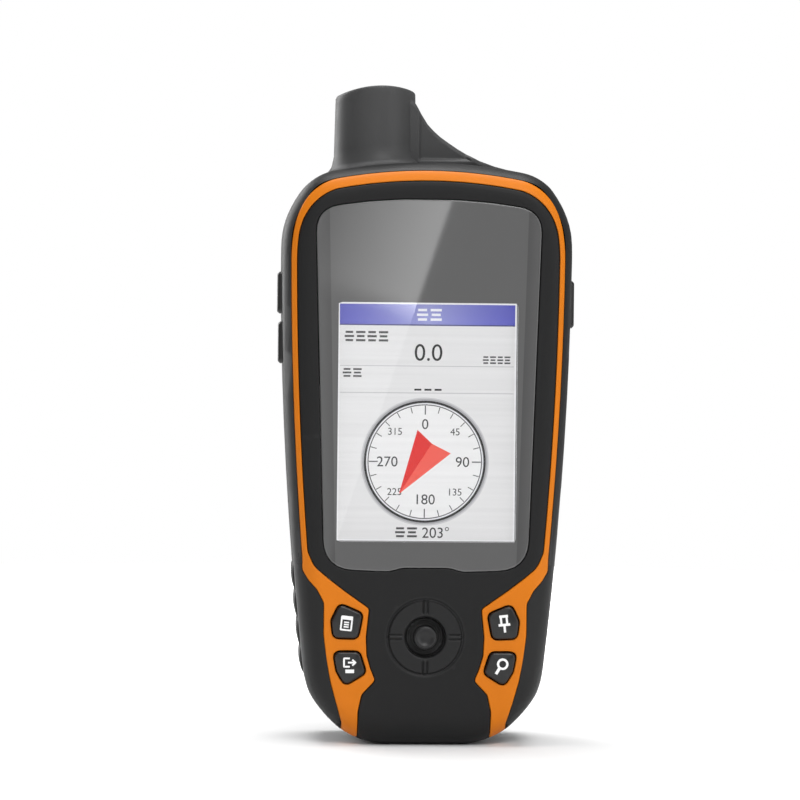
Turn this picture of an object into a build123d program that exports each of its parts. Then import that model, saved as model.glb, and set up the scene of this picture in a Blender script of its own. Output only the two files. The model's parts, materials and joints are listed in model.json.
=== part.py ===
from build123d import *
import math
import os

# Handheld GPS unit, standing on its bottom end.
# Millimetres. +Z runs up the unit, the screen faces -Y, +X is to the right of
# someone looking at the screen. The origin is the centre of the flat foot.

# --- Overall sizes ---------------------------------------------------------
BODY_WIDTH = 70.3
BODY_DEPTH = 35.0
BODY_TOP = 141.0
UNIT_TOP = 160.0
WALL = 2.0
EDGE_ROUND = 7.0
FOOT_WIDTH = 18.0

# Outline of the body, as half widths and heights.
CHIN_HALF = 21.6
CHIN_Z = 4.8
JAW_HALF = 29.3
JAW_Z = 19.4
WAIST_NARROWING = 1.85
WAIST_Z = 65.0
SHOULDER_Z = 117.0
SHOULDER_DROP = 6.5
SHOULDER_INSET = 5.0
BROW_HALF = 22.4
BROW_DROP = 2.1
CURVE_STEPS = 3

# The back is thinner above the battery bay.
NECK_DEPTH_CUT = 4.5
NECK_LOW_Z = 103.0
NECK_HIGH_Z = 108.0

# --- Clearances ------------------------------------------------------------
SHUT_LINE = 0.1
KEY_PLAY = 0.15
SCREW_PLAY = 0.05
PIVOT_PLAY = 0.08
SEAT = 0.1

# --- Front: bezel, band, window, display -----------------------------------
FLANK = 2.1
BAND = 1.35
SEAM_DEPTH = 8.5
SKIRT_INSET = 3.7
SKIRT_WALL = 1.4
SEAL_THICK = 1.0

# Half outlines of the wide parts of the band, from the flank downwards.
PATCH_TOP_Z = 45.0
PATCH_OUTER = [(27.4, 39.0), (24.5, 34.7), (24.5, 27.0), (22.8, 15.8), (19.9, 5.6)]
PATCH_INNER_TOP_Z = 48.5
PATCH_INNER = [(27.0, 43.4), (23.5, 40.5), (19.7, 37.6), (13.7, 33.3), (14.3, 25.5), (13.2, 18.7)]
PATCH_INNER += [(12.1, 15.8), (15.3, 12.5), (16.1, 8.5)]

WINDOW_TOP_Z = 132.0
WINDOW_LOW_Z = 42.3
WINDOW_TOP_HALF = 26.6
WINDOW_LOW_HALF = 24.4
WINDOW_ARCH = 2.4
WINDOW_TOP_ROUND = 9.0
WINDOW_LOW_ROUND = 7.0
WINDOW_THICK = 1.5
TAPE_THICK = 0.3
LEDGE_THICK = 1.8
LEDGE_REACH = 1.2

SCREEN_WIDTH = 43.2
SCREEN_HEIGHT = 57.6
SCREEN_Z = 78.1
PANEL_WIDTH = 50.0
PANEL_HEIGHT = 69.2
PANEL_THICK = 2.2
PANEL_TOP_MARGIN = 3.0
APERTURE_MARGIN = 1.4
TRAY_WALL = 1.0
TRAY_BACK = 1.3

BOARD_THICK = 1.2
BOARD_INSET = 5.8

# --- Keys on the front -----------------------------------------------------
KEY_PROUD = 0.7
KEY_TRAVEL = 0.5
KEY_FLANGE = 0.5
KEY_FLANGE_THICK = 0.6
KEY_ROUND = 1.1
UPPER_KEY = [(20.6, 34.3), (15.3, 32.0), (16.4, 26.2), (22.0, 26.4), (22.5, 30.3)]
LOWER_KEY = [(22.0, 22.8), (16.0, 22.8), (14.4, 17.9), (19.2, 14.9), (21.1, 18.2)]
MAT_THICK = 0.8
MAT_LOW_Z = 12.8
MAT_TOP_Z = 36.2
MAT_RIM = 0.7
SWITCH_SIZE = 4.0
SWITCH_HEIGHT = 2.3
PLUNGER_R = 1.3

# --- Joystick --------------------------------------------------------------
STICK_Z = 26.5
RING_OUTER_R = 8.7
RING_INNER_R = 5.0
RING_PROUD = 0.8
RING_RIDGE = 0.7
KNOB_R = 2.75
KNOB_HEIGHT = 2.6
KNOB_PROUD = 1.5
KNOB_DISH_R = 1.9
KNOB_DISH = 0.5
STEM_R = 1.2
STICK_PRESS = 0.4
STICK_TILT_ROOM = 0.6
BOOT_R = 6.6
BOOT_THICK = 1.0
MODULE_SIZE = 10.0
MODULE_FRONT_GAP = 0.4
WELL_R = 4.2
WELL_FLOOR = 0.6
GIMBAL_R = 3.9
GIMBAL_BORE = 3.0
GIMBAL_THICK = 1.2
GIMBAL_RISE = 0.3
ROCKER_R = 2.7
ROCKER_THICK = 1.0
PIVOT_R = 0.35
PIVOT_DEPTH = 0.7

# --- Keys on the flanks ----------------------------------------------------
SIDE_KEY_Y = -4.5
SIDE_KEY_DEPTH = 6.0
SIDE_KEY_PROUD = 1.1
SIDE_KEY_TRAVEL = 0.5
SIDE_FLANGE = 0.8
ZOOM_KEY_HEIGHT = 10.2
ZOOM_IN_Z = 109.2
ZOOM_OUT_Z = 97.1
POWER_KEY_HEIGHT = 11.6
POWER_KEY_Z = 107.0
SIDE_SWITCH = 3.2
SIDE_SWITCH_REACH = 1.6
SIDE_PLUNGER = 1.4

# --- Back: battery bay, cover and latch ------------------------------------
CELL_R = 7.25
CELL_LENGTH = 49.2
CELL_NUB_R = 2.7
CELL_NUB = 1.3
CELL_GAP = 0.9
CELL_LOW_Z = 40.5
BAY_WALL = 1.2
BAY_SIDE_GAP = 2.0
CELL_BACK_GAP = 0.5
SPRING_ROOM = 5.0
CONTACT_THICK = 0.5
CONTACT_WIDTH = 9.0
COVER_HALF_WIDTH = 20.0
COVER_LOW_Z = 24.5
COVER_TOP_Z = 98.0
COVER_ROUND = 6.0
COVER_THICK = 2.0
COVER_PLAY = 0.2
COVER_LIP = 1.2
COVER_LIP_HEIGHT = 1.2
COVER_SEAL = 1.0
LEDGE_DEPTH = 1.6
LATCH_Z = 29.5
HUB_R = 5.0
HUB_THICK = 0.8
HUB_NECK_R = 2.6
HUB_SHANK_R = 1.25
HUB_SHANK = 5.5
HUB_BOSS_R = 3.0
EAR_WIDTH = 5.4
EAR_HEIGHT = 2.6
RING_WIRE_R = 0.7
LATCH_RING_WIDTH = 10.0
LATCH_RING_LENGTH = 11.0
LATCH_RING_ROUND = 2.2
LATCH_PIVOT_LIFT = 0.9
LATCH_PIVOT_RISE = 2.6

# --- Top: antenna stub and its web -----------------------------------------
STUB_X = -12.4
STUB_Y = 2.5
STUB_TOP_R = 9.7
STUB_FOOT_R = 10.35
STUB_WALL = 1.8
STUB_EDGE = 0.7
STUB_DOME_R = 26.0
WEB_THICK = 9.0
WEB_TOP_Z = 155.6
WEB_MID = (5.5, 146.2)
WEB_END_X = 24.5
CORE_R = 5.0
CORE_HEIGHT = 17.5
ANTENNA_BOARD_R = 7.4
ANTENNA_BOARD_THICK = 1.0
ANTENNA_BOARD_Z = 134.5
SHELF_REACH = 2.0
SHELF_THICK = 1.2
COAX_R = 0.55
COAX_PLUG_R = 1.4
COAX_PLUG_THICK = 1.4
COAX_PLUG_Z = 116.0

# --- Ports behind the rubber cover on the upper back -----------------------
PORT_BOARD = (22.0, 14.0, 1.0)
PORT_X = 6.8
PORT_Z = 119.5
PORT_BOARD_Y = 4.0
PORT_PAD = 1.5
USB_X = 2.2
USB_SIZE = (7.6, 2.9)
JACK_X = 12.0
JACK_R = 2.4
JACK_BORE_R = 1.3
JACK_BORE_DEPTH = 4.0
PORT_COVER_SIZE = (20.5, 12.0)
PORT_COVER_THICK = 1.6
STANDOFF_R = 1.2
STANDOFF_AT = (9.4, 5.4)

# --- Fasteners and small parts ---------------------------------------------
TOP_BOSS = (22.0, 124.0)
LOW_BOSS = (10.0, 9.2)
BOSS_R = 3.0
BOSS_MEET_Y = -4.5
CASE_SCREW_R = 1.0
CASE_SCREW_LENGTH = 7.0
CASE_HEAD_R = 1.9
CASE_HEAD = 1.6
CASE_SEAT = 1.5
BOARD_POSTS = [(-24.0, 114.6), (24.0, 114.6), (0.0, 9.8)]
POST_R = 2.0
BOARD_SCREW_R = 0.8
BOARD_SCREW_LENGTH = 4.2
BOARD_HEAD_R = 1.5
BOARD_HEAD = 0.9
BUZZER_R = 4.5
BUZZER_HEIGHT = 3.0
BUZZER_AT = (-20.0, 70.0)
SHIELD_SIZE = (22.0, 16.0, 2.2)
SHIELD_AT = (9.0, 104.0)
GRIP_LOW_Z = 15.5
GRIP_TOP_Z = 58.0
GRIP_FRONT_Y = -6.0
GRIP_BACK_Y = 8.0
GRIP_THICK = 1.0
GRIP_PITCH = 6.8
GRIP_GROOVE_R = 5.0
GRIP_GROOVE = 0.6
GRIP_GROOVES = 4
LANYARD_Z = 13.0
LANYARD_WIDTH = 8.0
LANYARD_HEIGHT = 3.6
LANYARD_DEPTH = 6.0
LANYARD_BAR_R = 0.9
LANYARD_WALL = 1.2

# --- Places worked out from the sizes above --------------------------------
FRONT_Y = -BODY_DEPTH / 2
BACK_Y = BODY_DEPTH / 2
NECK_Y = BACK_Y - NECK_DEPTH_CUT
SEAM_Y = FRONT_Y + SEAM_DEPTH
BODY_HALF = BODY_WIDTH / 2
FAR = 100.0
WINDOW_BACK_Y = FRONT_Y + WINDOW_THICK
LEDGE_Y = WINDOW_BACK_Y + TAPE_THICK
PANEL_Y = LEDGE_Y + LEDGE_THICK + SEAT
PANEL_TOP_Z = SCREEN_Z + SCREEN_HEIGHT / 2 + PANEL_TOP_MARGIN
PANEL_Z = PANEL_TOP_Z - PANEL_HEIGHT / 2
TRAY_BACK_Y = PANEL_Y + PANEL_THICK + TRAY_BACK
BOARD_Y = TRAY_BACK_Y
BOARD_BACK_Y = BOARD_Y + BOARD_THICK
PLATE_BACK_Y = FRONT_Y + WALL
FLANGE_Y = PLATE_BACK_Y + SEAT
KEY_BACK_Y = FLANGE_Y + KEY_FLANGE_THICK
MAT_Y = KEY_BACK_Y + KEY_TRAVEL + SHUT_LINE
MAT_BACK_Y = MAT_Y + MAT_THICK
SWITCH_Y = BOARD_Y - SWITCH_HEIGHT
BOOT_Y = PLATE_BACK_Y + SEAT
MODULE_Y = BOOT_Y + BOOT_THICK + MODULE_FRONT_GAP
GIMBAL_Y = (MODULE_Y + BOARD_Y) / 2 - GIMBAL_RISE
SKIRT_BACK_Y = SEAM_Y - SEAL_THICK + 2 * SEAT
LIP_Y = SKIRT_BACK_Y + SEAL_THICK
COVER_Y = BACK_Y - COVER_THICK
LEDGE_BACK_Y = COVER_Y - SEAT
BAY_HALF = 2 * CELL_R + CELL_GAP / 2 + BAY_SIDE_GAP
CELL_X = CELL_R + CELL_GAP / 2
CELL_Y = COVER_Y - COVER_LIP_HEIGHT - CELL_BACK_GAP - CELL_R
BAY_FLOOR_Y = CELL_Y - CELL_R - SEAT - BAY_WALL
BAY_LOW_Z = CELL_LOW_Z - SPRING_ROOM
BAY_TOP_Z = CELL_LOW_Z + CELL_LENGTH + CELL_NUB + CONTACT_THICK + 2 * SEAT
HUB_Y = BACK_Y - HUB_THICK
COVER_Z = (COVER_LOW_Z + COVER_TOP_Z) / 2
BAY_Z = (BAY_LOW_Z + BAY_TOP_Z) / 2
BAY_HEIGHT = BAY_TOP_Z - BAY_LOW_Z
LATCH_PIVOT_Y = BACK_Y + LATCH_PIVOT_LIFT
LATCH_PIVOT_Z = LATCH_Z + LATCH_PIVOT_RISE
PORT_COVER_Y = NECK_Y - PORT_COVER_THICK
PORT_PAD_Y = PORT_COVER_Y - PORT_PAD
PORT_AXIS_Y = NECK_Y - PORT_COVER_THICK / 2
PORT_HINGE_X = PORT_X - (PORT_COVER_SIZE[0] - PORT_COVER_THICK) / 2
PORT_BOARD_BACK_Y = PORT_BOARD_Y + PORT_BOARD[2]
HEAD_Y = BOSS_MEET_Y + CASE_SEAT + SCREW_PLAY
LANYARD_BAR_Y = BACK_Y - LANYARD_BAR_R - SEAT

nodes = {}


# --- Helpers ---------------------------------------------------------------
def slab(face, front_y, back_y):
    """Extrude a front-view face between two depths."""
    return extrude(Plane.XZ.offset(-back_y) * face, back_y - front_y)


def mirrored(points):
    """The same half outline on the left."""
    return [(-x, z) for x, z in points]


def rounded(points, radius):
    """A polygon with all its corners rounded alike."""
    polygon = make_face(Polyline(*points, close=True))
    return fillet(polygon.vertices(), radius)


def box(low, high):
    """A box between two corners."""
    size = [high[i] - low[i] for i in range(3)]
    return Pos(*low) * Box(*size, align=(Align.MIN, Align.MIN, Align.MIN))


def rod(x, z, radius, front_y, back_y):
    """A cylinder along Y between two depths."""
    return slab(Pos(x, z) * Circle(radius), front_y, back_y)


def cross_rod(y, z, radius, x_low, x_high):
    """A cylinder along X."""
    return Pos((x_low + x_high) / 2, y, z) * Rot(0, 90, 0) * Cylinder(radius, x_high - x_low)


def plate(x, z, width, height, corner, front_y, back_y):
    """A plate with rounded corners, facing the front."""
    return slab(Pos(x, z) * RectangleRounded(width, height, corner), front_y, back_y)


def save(name, shape):
    """Keep one finished piece."""
    nodes[name] = shape


# --- Body envelope ---------------------------------------------------------
def outline_edges():
    """Right half of the front view: chin, flank and shoulder, then the whole arched top."""
    foot = (FOOT_WIDTH / 2, 0)
    jaw = (JAW_HALF, JAW_Z)
    shoulder = (BODY_HALF, SHOULDER_Z)
    brow = (BROW_HALF, BODY_TOP - BROW_DROP)
    flank = ThreePointArc(jaw, (BODY_HALF - WAIST_NARROWING, WAIST_Z), shoulder)
    top = ThreePointArc(brow, (0, BODY_TOP), (-brow[0], brow[1]))
    chin = Spline(foot, (CHIN_HALF, CHIN_Z), jaw, tangents=[(1, 0), flank % 0])
    corner = (BODY_HALF - SHOULDER_INSET, BODY_TOP - SHOULDER_DROP)
    round_shoulder = Spline(shoulder, corner, brow, tangents=[flank % 1, top % 0])
    return chin, flank, round_shoulder, top


CHIN, FLANK_ARC, SHOULDER, TOP_ARC = outline_edges()


def inward(edge, share, distance):
    """A point part of the way along an edge, moved inwards from it."""
    point, along = edge @ share, edge % share
    return point.X - along.Y * distance, point.Y + along.X * distance


def inset_curve(edge, distance):
    """A free curve moved inwards."""
    points = [inward(edge, step / CURVE_STEPS, distance) for step in range(CURVE_STEPS + 1)]
    return Spline(*points, tangents=[edge % 0, edge % 1])


def inset_arc(edge, distance):
    """A circular arc moved inwards."""
    return ThreePointArc(*[inward(edge, share, distance) for share in (0, 0.5, 1)])


def inset_outline(distance):
    """Front view of the body, with every edge moved inwards."""
    right = [inset_curve(CHIN, distance), inset_arc(FLANK_ARC, distance), inset_curve(SHOULDER, distance)]
    left = [edge.mirror(Plane.YZ) for edge in right]
    sole = Line((-FOOT_WIDTH / 2, distance), (FOOT_WIDTH / 2, distance))
    return make_face([*right, *left, inset_arc(TOP_ARC, distance), sole])


OUTLINE = inset_outline(0)


def soft_slab(face, front_y, back_y, radius):
    """A slab whose front and back rims are rounded."""
    block = slab(face, front_y, back_y)
    rims = block.faces().filter_by(Axis.Y).edges()
    return fillet(rims, radius)


def body_solid(inset):
    """The body's volume, each surface moved inwards by inset: a deep lower part and a thinner neck."""
    face = inset_outline(inset)
    radius = EDGE_ROUND - inset
    deep = soft_slab(face, FRONT_Y + inset, BACK_Y - inset, radius)
    thin = soft_slab(face, FRONT_Y + inset, NECK_Y - inset, radius)
    slope = [(FRONT_Y - 1, -1), (BACK_Y + 1, -1), (BACK_Y + 1, NECK_LOW_Z - inset)]
    slope += [(FRONT_Y - 1, NECK_LOW_Z - inset + (NECK_HIGH_Z - NECK_LOW_Z) * BODY_DEPTH / NECK_DEPTH_CUT)]
    side = make_face(Polyline(*slope, close=True))
    below = extrude(Plane.YZ.offset(-FAR) * side, 2 * FAR)
    return thin + (deep & below)


OUTER = body_solid(0)
INNER = body_solid(WALL)
SHELL = OUTER - INNER


# --- Front view regions ----------------------------------------------------
def front_region(inset, top_z, points, grow):
    """The body's front view moved inwards, open down to the sole, less a wide part on each side."""
    reach = 2 * BODY_HALF
    chin = Pos(0, PATCH_TOP_Z / 2 - 1) * Rectangle(2 * reach, PATCH_TOP_Z)
    face = inset_outline(inset) + (OUTLINE & chin)
    corner = (BODY_HALF - FLANK, top_z + 2)
    outline = [(reach, top_z), corner, *points, (points[-1][0], -1), (reach, -1)]
    for side in (list, mirrored):
        wide_part = make_face(Polyline(*side(outline), close=True))
        face -= offset(wide_part, grow, kind=Kind.INTERSECTION) if grow else wide_part
    return face


def window_face(grow=0.0):
    """Window outline: arched top, sides that draw in downwards, round corners."""
    top_left = (-WINDOW_TOP_HALF, WINDOW_TOP_Z - WINDOW_ARCH)
    top_right = (WINDOW_TOP_HALF, WINDOW_TOP_Z - WINDOW_ARCH)
    low_left = (-WINDOW_LOW_HALF, WINDOW_LOW_Z)
    low_right = (WINDOW_LOW_HALF, WINDOW_LOW_Z)
    edges = [ThreePointArc(top_left, (0, WINDOW_TOP_Z), top_right), Line(top_right, low_right)]
    edges += [Line(low_right, low_left), Line(low_left, top_left)]
    face = make_face(edges)
    face = fillet(face.vertices().sort_by(Axis.Y)[:2], WINDOW_LOW_ROUND)
    face = fillet(face.vertices().sort_by(Axis.Y)[-2:], WINDOW_TOP_ROUND)
    return offset(face, grow) if grow else face


WINDOW_FACE = window_face()
FRONT_FACE = front_region(FLANK, PATCH_TOP_Z, PATCH_OUTER, 0)
HOUSING_CUT = front_region(FLANK - SHUT_LINE, PATCH_TOP_Z, PATCH_OUTER, -SHUT_LINE)
BAND_HOLE = front_region(FLANK + BAND, PATCH_INNER_TOP_Z, PATCH_INNER, 0)
BEZEL_FACE = front_region(FLANK + BAND + SHUT_LINE, PATCH_INNER_TOP_Z, PATCH_INNER, SHUT_LINE)
BAND_FACE = FRONT_FACE - BAND_HOLE
AHEAD_Y = FRONT_Y - 5
APERTURE = Pos(0, SCREEN_Z) * RectangleRounded(
    SCREEN_WIDTH + 2 * APERTURE_MARGIN, SCREEN_HEIGHT + 2 * APERTURE_MARGIN, 1.0
)
KEYS = {
    "menu_key": mirrored(UPPER_KEY),
    "exit_key": mirrored(LOWER_KEY),
    "mark_key": UPPER_KEY,
    "find_key": LOWER_KEY,
}


def key_face(points, grow=0.0):
    """A key's outline with rounded corners, grown all round."""
    face = rounded(points, KEY_ROUND)
    return offset(face, grow) if grow else face


def key_centre(points):
    """The middle of a key's corners."""
    return sum(x for x, z in points) / len(points), sum(z for x, z in points) / len(points)


def case_bosses():
    """The four places where a case screw stands."""
    return [(side * x, z) for x, z in (TOP_BOSS, LOW_BOSS) for side in (-1, 1)]


# --- Front pieces ----------------------------------------------------------
def front_bezel():
    """Front frame: plate with window pocket, joystick ring, skirt, screw bosses and board posts."""
    plate_part = SHELL & slab(BEZEL_FACE, AHEAD_Y, SEAM_Y - SHUT_LINE)
    ring = inset_outline(SKIRT_INSET) - inset_outline(SKIRT_INSET + SKIRT_WALL)
    skirt = slab(ring, FRONT_Y + WALL / 2, SKIRT_BACK_Y) & OUTER
    skirt -= slab(OUTLINE - BAND_HOLE, AHEAD_Y, FRONT_Y + 2 * WALL)
    body = plate_part + skirt
    body += slab(window_face(LEDGE_REACH), WINDOW_BACK_Y, LEDGE_Y + LEDGE_THICK)
    for x, z in case_bosses():
        body += rod(x, z, BOSS_R, PLATE_BACK_Y - WALL / 2, BOSS_MEET_Y - SHUT_LINE)
        pilot = CASE_SCREW_R + SCREW_PLAY
        body -= rod(x, z, pilot, BOSS_MEET_Y - CASE_SCREW_LENGTH - 1, BOSS_MEET_Y)
    for x, z in BOARD_POSTS:
        body += rod(x, z, POST_R, PLATE_BACK_Y - WALL / 2, BOARD_Y)
        pilot = BOARD_SCREW_R + SCREW_PLAY
        body -= rod(x, z, pilot, BOARD_Y - BOARD_SCREW_LENGTH, BOARD_Y)
    body -= slab(window_face(SHUT_LINE), AHEAD_Y, LEDGE_Y)
    body -= slab(APERTURE, AHEAD_Y, LEDGE_Y + LEDGE_THICK + 1)
    return joystick_surround(body)


def joystick_surround(body):
    """Raised ring with four ridges round the joystick, and the round opening inside it."""
    height = (RING_OUTER_R - RING_INNER_R) / 2
    middle = (RING_OUTER_R + RING_INNER_R) / 2
    body += rod(0, STICK_Z, RING_OUTER_R, FRONT_Y - RING_PROUD / 2, PLATE_BACK_Y)
    for turn in range(4):
        ridge = Rot(0, 0, 90 * turn) * Pos(middle, 0) * Rectangle(2 * height, RING_RIDGE)
        body += slab(Pos(0, STICK_Z) * ridge, FRONT_Y - RING_PROUD, PLATE_BACK_Y)
    return body - rod(0, STICK_Z, RING_INNER_R, AHEAD_Y, PLATE_BACK_Y)


def trim_band():
    """Coloured band between bezel and rear shell, with the wide parts that hold the keys."""
    band = SHELL & slab(BAND_FACE, AHEAD_Y, SEAM_Y - SHUT_LINE)
    for points in KEYS.values():
        band -= slab(key_face(points, KEY_PLAY), AHEAD_Y, SEAM_Y)
    return band


def screen_window():
    return slab(WINDOW_FACE, FRONT_Y, WINDOW_BACK_Y)


def window_tape():
    """Adhesive gasket between window and ledge."""
    return slab(WINDOW_FACE - APERTURE, WINDOW_BACK_Y, LEDGE_Y)


def display_panel():
    return plate(0, PANEL_Z, PANEL_WIDTH, PANEL_HEIGHT, 0.5, PANEL_Y, PANEL_Y + PANEL_THICK)


def display_tray():
    """Backlight tray that holds the panel's rim and back."""
    width = PANEL_WIDTH + 2 * TRAY_WALL
    height = PANEL_HEIGHT + 2 * TRAY_WALL
    tray = plate(0, PANEL_Z, width, height, 1.0, PANEL_Y, TRAY_BACK_Y)
    size = (PANEL_WIDTH + 2 * SEAT, PANEL_HEIGHT + 2 * SEAT)
    return tray - plate(0, PANEL_Z, *size, 0.5, AHEAD_Y, PANEL_Y + PANEL_THICK)


def key_cap(points):
    """A key that stands proud of the band, with a flange behind it."""
    cap = slab(key_face(points), FRONT_Y - KEY_PROUD, KEY_BACK_Y)
    cap = fillet(cap.faces().sort_by(Axis.Y)[0].edges(), 0.3)
    return cap + slab(key_face(points, KEY_FLANGE), FLANGE_Y, KEY_BACK_Y)


def mat_face(inset):
    """Front view of the mat: the board's outline between two heights."""
    height = MAT_TOP_Z - MAT_LOW_Z - 2 * inset
    field = Pos(0, (MAT_LOW_Z + MAT_TOP_Z) / 2) * Rectangle(2 * BODY_HALF, height)
    return inset_outline(BOARD_INSET + inset) & field


def keypad_mat():
    """Rubber mat behind the keys: a web with a raised rim and a plunger for each switch."""
    face = mat_face(0)
    rim = face - mat_face(MAT_RIM)
    mat = slab(face, MAT_Y, MAT_BACK_Y) + slab(rim, FLANGE_Y + SEAT, MAT_BACK_Y)
    mat -= rod(0, STICK_Z, RING_OUTER_R, AHEAD_Y, BOARD_Y)
    for points in KEYS.values():
        x, z = key_centre(points)
        mat += rod(x, z, PLUNGER_R, MAT_Y, SWITCH_Y - SEAT)
    return mat


def dome_switches():
    """One dome switch under each key."""
    group = []
    for points in KEYS.values():
        x, z = key_centre(points)
        group.append(plate(x, z, SWITCH_SIZE, SWITCH_SIZE, 0.6, SWITCH_Y, BOARD_Y))
    return group


# --- Joystick --------------------------------------------------------------
def joystick_boot():
    """Rubber disc that seals the opening round the stem."""
    disc = rod(0, STICK_Z, BOOT_R, BOOT_Y, BOOT_Y + BOOT_THICK)
    return disc - rod(0, STICK_Z, STEM_R + STICK_TILT_ROOM, AHEAD_Y, MODULE_Y)


def joystick_housing():
    """Box with a round well and two bearings for the gimbal's pivots."""
    housing = plate(0, STICK_Z, MODULE_SIZE, MODULE_SIZE, 0.8, MODULE_Y, BOARD_Y)
    housing -= rod(0, STICK_Z, WELL_R, AHEAD_Y, BOARD_Y - WELL_FLOOR)
    reach = WELL_R + PIVOT_DEPTH / 2
    return housing - cross_rod(GIMBAL_Y, STICK_Z, PIVOT_R + PIVOT_PLAY, -reach, reach)


def joystick_gimbal():
    """Ring that tilts on two side pivots and carries the rocker's pivots."""
    face = Circle(GIMBAL_R) - Circle(GIMBAL_BORE)
    ring = slab(Pos(0, STICK_Z) * face, GIMBAL_Y - GIMBAL_THICK / 2, GIMBAL_Y + GIMBAL_THICK / 2)
    reach = WELL_R + PIVOT_DEPTH / 2 - PIVOT_PLAY
    ring += cross_rod(GIMBAL_Y, STICK_Z, PIVOT_R, GIMBAL_BORE + SEAT, reach)
    ring += cross_rod(GIMBAL_Y, STICK_Z, PIVOT_R, -reach, -GIMBAL_BORE - SEAT)
    tall = 2 * GIMBAL_R
    return ring - Pos(0, GIMBAL_Y, STICK_Z) * Cylinder(PIVOT_R + PIVOT_PLAY, tall)


def joystick_rocker():
    """Inner ring that tilts in the gimbal and guides the stem."""
    bore = STEM_R + SCREW_PLAY
    face = Circle(ROCKER_R) - Circle(bore)
    ring = slab(Pos(0, STICK_Z) * face, GIMBAL_Y - ROCKER_THICK / 2, GIMBAL_Y + ROCKER_THICK / 2)
    middle = (bore + GIMBAL_BORE + PIVOT_DEPTH + SEAT) / 2 + SEAT
    length = 2 * (GIMBAL_BORE + PIVOT_DEPTH - middle)
    for side in (-1, 1):
        ring += Pos(0, GIMBAL_Y, STICK_Z + side * middle) * Cylinder(PIVOT_R, length)
    return ring


def joystick_stem():
    """Steel stem, guided by the rocker, that carries the knob."""
    tip = BOARD_Y - WELL_FLOOR - STICK_PRESS - 2 * SEAT
    return rod(0, STICK_Z, STEM_R, FRONT_Y - KNOB_PROUD + KNOB_HEIGHT / 2, tip)


def joystick_knob():
    """Round knob with a dished top and a socket for the stem."""
    top = FRONT_Y - KNOB_PROUD
    knob = rod(0, STICK_Z, KNOB_R, top, top + KNOB_HEIGHT)
    knob = fillet(knob.faces().sort_by(Axis.Y)[0].edges(), 0.5)
    knob -= rod(0, STICK_Z, KNOB_DISH_R, top - 1, top + KNOB_DISH)
    return knob - rod(0, STICK_Z, STEM_R + SCREW_PLAY, top + KNOB_HEIGHT / 2 - SCREW_PLAY, top + KNOB_HEIGHT)


# --- Board -----------------------------------------------------------------
def main_board():
    """Circuit board that follows the body's outline, cut clear of the case bosses."""
    board = slab(inset_outline(BOARD_INSET), BOARD_Y, BOARD_BACK_Y)
    for x, z in case_bosses():
        board -= rod(x, z, BOSS_R + 2 * KEY_PLAY, AHEAD_Y, 0)
    for x, z in BOARD_POSTS:
        board -= rod(x, z, BOARD_SCREW_R + KEY_PLAY, AHEAD_Y, 0)
    return board


def board_screws():
    group = []
    for x, z in BOARD_POSTS:
        tip = BOARD_BACK_Y + SCREW_PLAY - BOARD_SCREW_LENGTH
        shank = rod(x, z, BOARD_SCREW_R, tip, BOARD_BACK_Y + SCREW_PLAY)
        head = rod(x, z, BOARD_HEAD_R, BOARD_BACK_Y + SCREW_PLAY, BOARD_BACK_Y + BOARD_HEAD)
        group.append(shank + head)
    return group


def buzzer():
    x, z = BUZZER_AT
    return rod(x, z, BUZZER_R, BOARD_BACK_Y, BOARD_BACK_Y + BUZZER_HEIGHT)


def receiver_shield():
    """Metal can over the receiver chips."""
    width, height, thick = SHIELD_SIZE
    x, z = SHIELD_AT
    return plate(x, z, width, height, 0.6, BOARD_BACK_Y, BOARD_BACK_Y + thick)


# --- Keys on the flanks ----------------------------------------------------
def flank_x(z):
    """Half width of the body at a height, measured on its outline."""
    strip = Pos(0, z) * Rectangle(4 * BODY_HALF, 0.02)
    return (OUTLINE & strip).bounding_box().max.X


SIDE_KEYS = {
    "zoom_in_key": (-1, ZOOM_IN_Z, ZOOM_KEY_HEIGHT),
    "zoom_out_key": (-1, ZOOM_OUT_Z, ZOOM_KEY_HEIGHT),
    "power_key": (1, POWER_KEY_Z, POWER_KEY_HEIGHT),
}


def side_slab(side, y, z, depth, height, corner, inner_x, outer_x):
    """A plate that faces sideways, between two distances from the middle."""
    face = Pos(y, z) * RectangleRounded(depth, height, corner)
    return extrude(Plane.YZ.offset(side * inner_x) * face, side * (outer_x - inner_x))


def side_key_hole(side, z, height):
    """Opening in the flank for one key, and the room for its flange behind the wall."""
    edge = flank_x(z)
    size = (SIDE_KEY_DEPTH + 2 * KEY_PLAY, height + 2 * KEY_PLAY)
    hole = side_slab(side, SIDE_KEY_Y, z, *size, 1.2, edge - 3 * WALL, edge + WALL)
    room = (size[0] + 2 * SIDE_FLANGE + 4 * SEAT, size[1] + 2 * SIDE_FLANGE + 4 * SEAT)
    return hole + side_slab(side, SIDE_KEY_Y, z, *room, 1.6, edge - 4 * WALL, edge - WALL)


def side_key(side, z, height):
    """A key in the flank: a proud cap and a flange behind the wall."""
    edge = flank_x(z)
    lip = min(flank_x(z - height / 2), flank_x(z + height / 2)) - WALL - SEAT
    flange = (SIDE_KEY_DEPTH + 2 * SIDE_FLANGE, height + 2 * SIDE_FLANGE)
    back = side_key_back(z, height)
    outer_x = edge + SIDE_KEY_PROUD
    cap = side_slab(side, SIDE_KEY_Y, z, SIDE_KEY_DEPTH, height, 1.1, lip - SIDE_FLANGE, outer_x)
    outer_face = cap.faces().sort_by(Axis.X)[-1 if side > 0 else 0]
    cap = chamfer(outer_face.edges(), 0.5)
    cap += side_slab(side, SIDE_KEY_Y, z, *flange, 1.4, lip - SIDE_FLANGE, lip)
    return cap + cross_rod(SIDE_KEY_Y, z, PLUNGER_R, *sorted((side * back, side * lip)))


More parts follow.
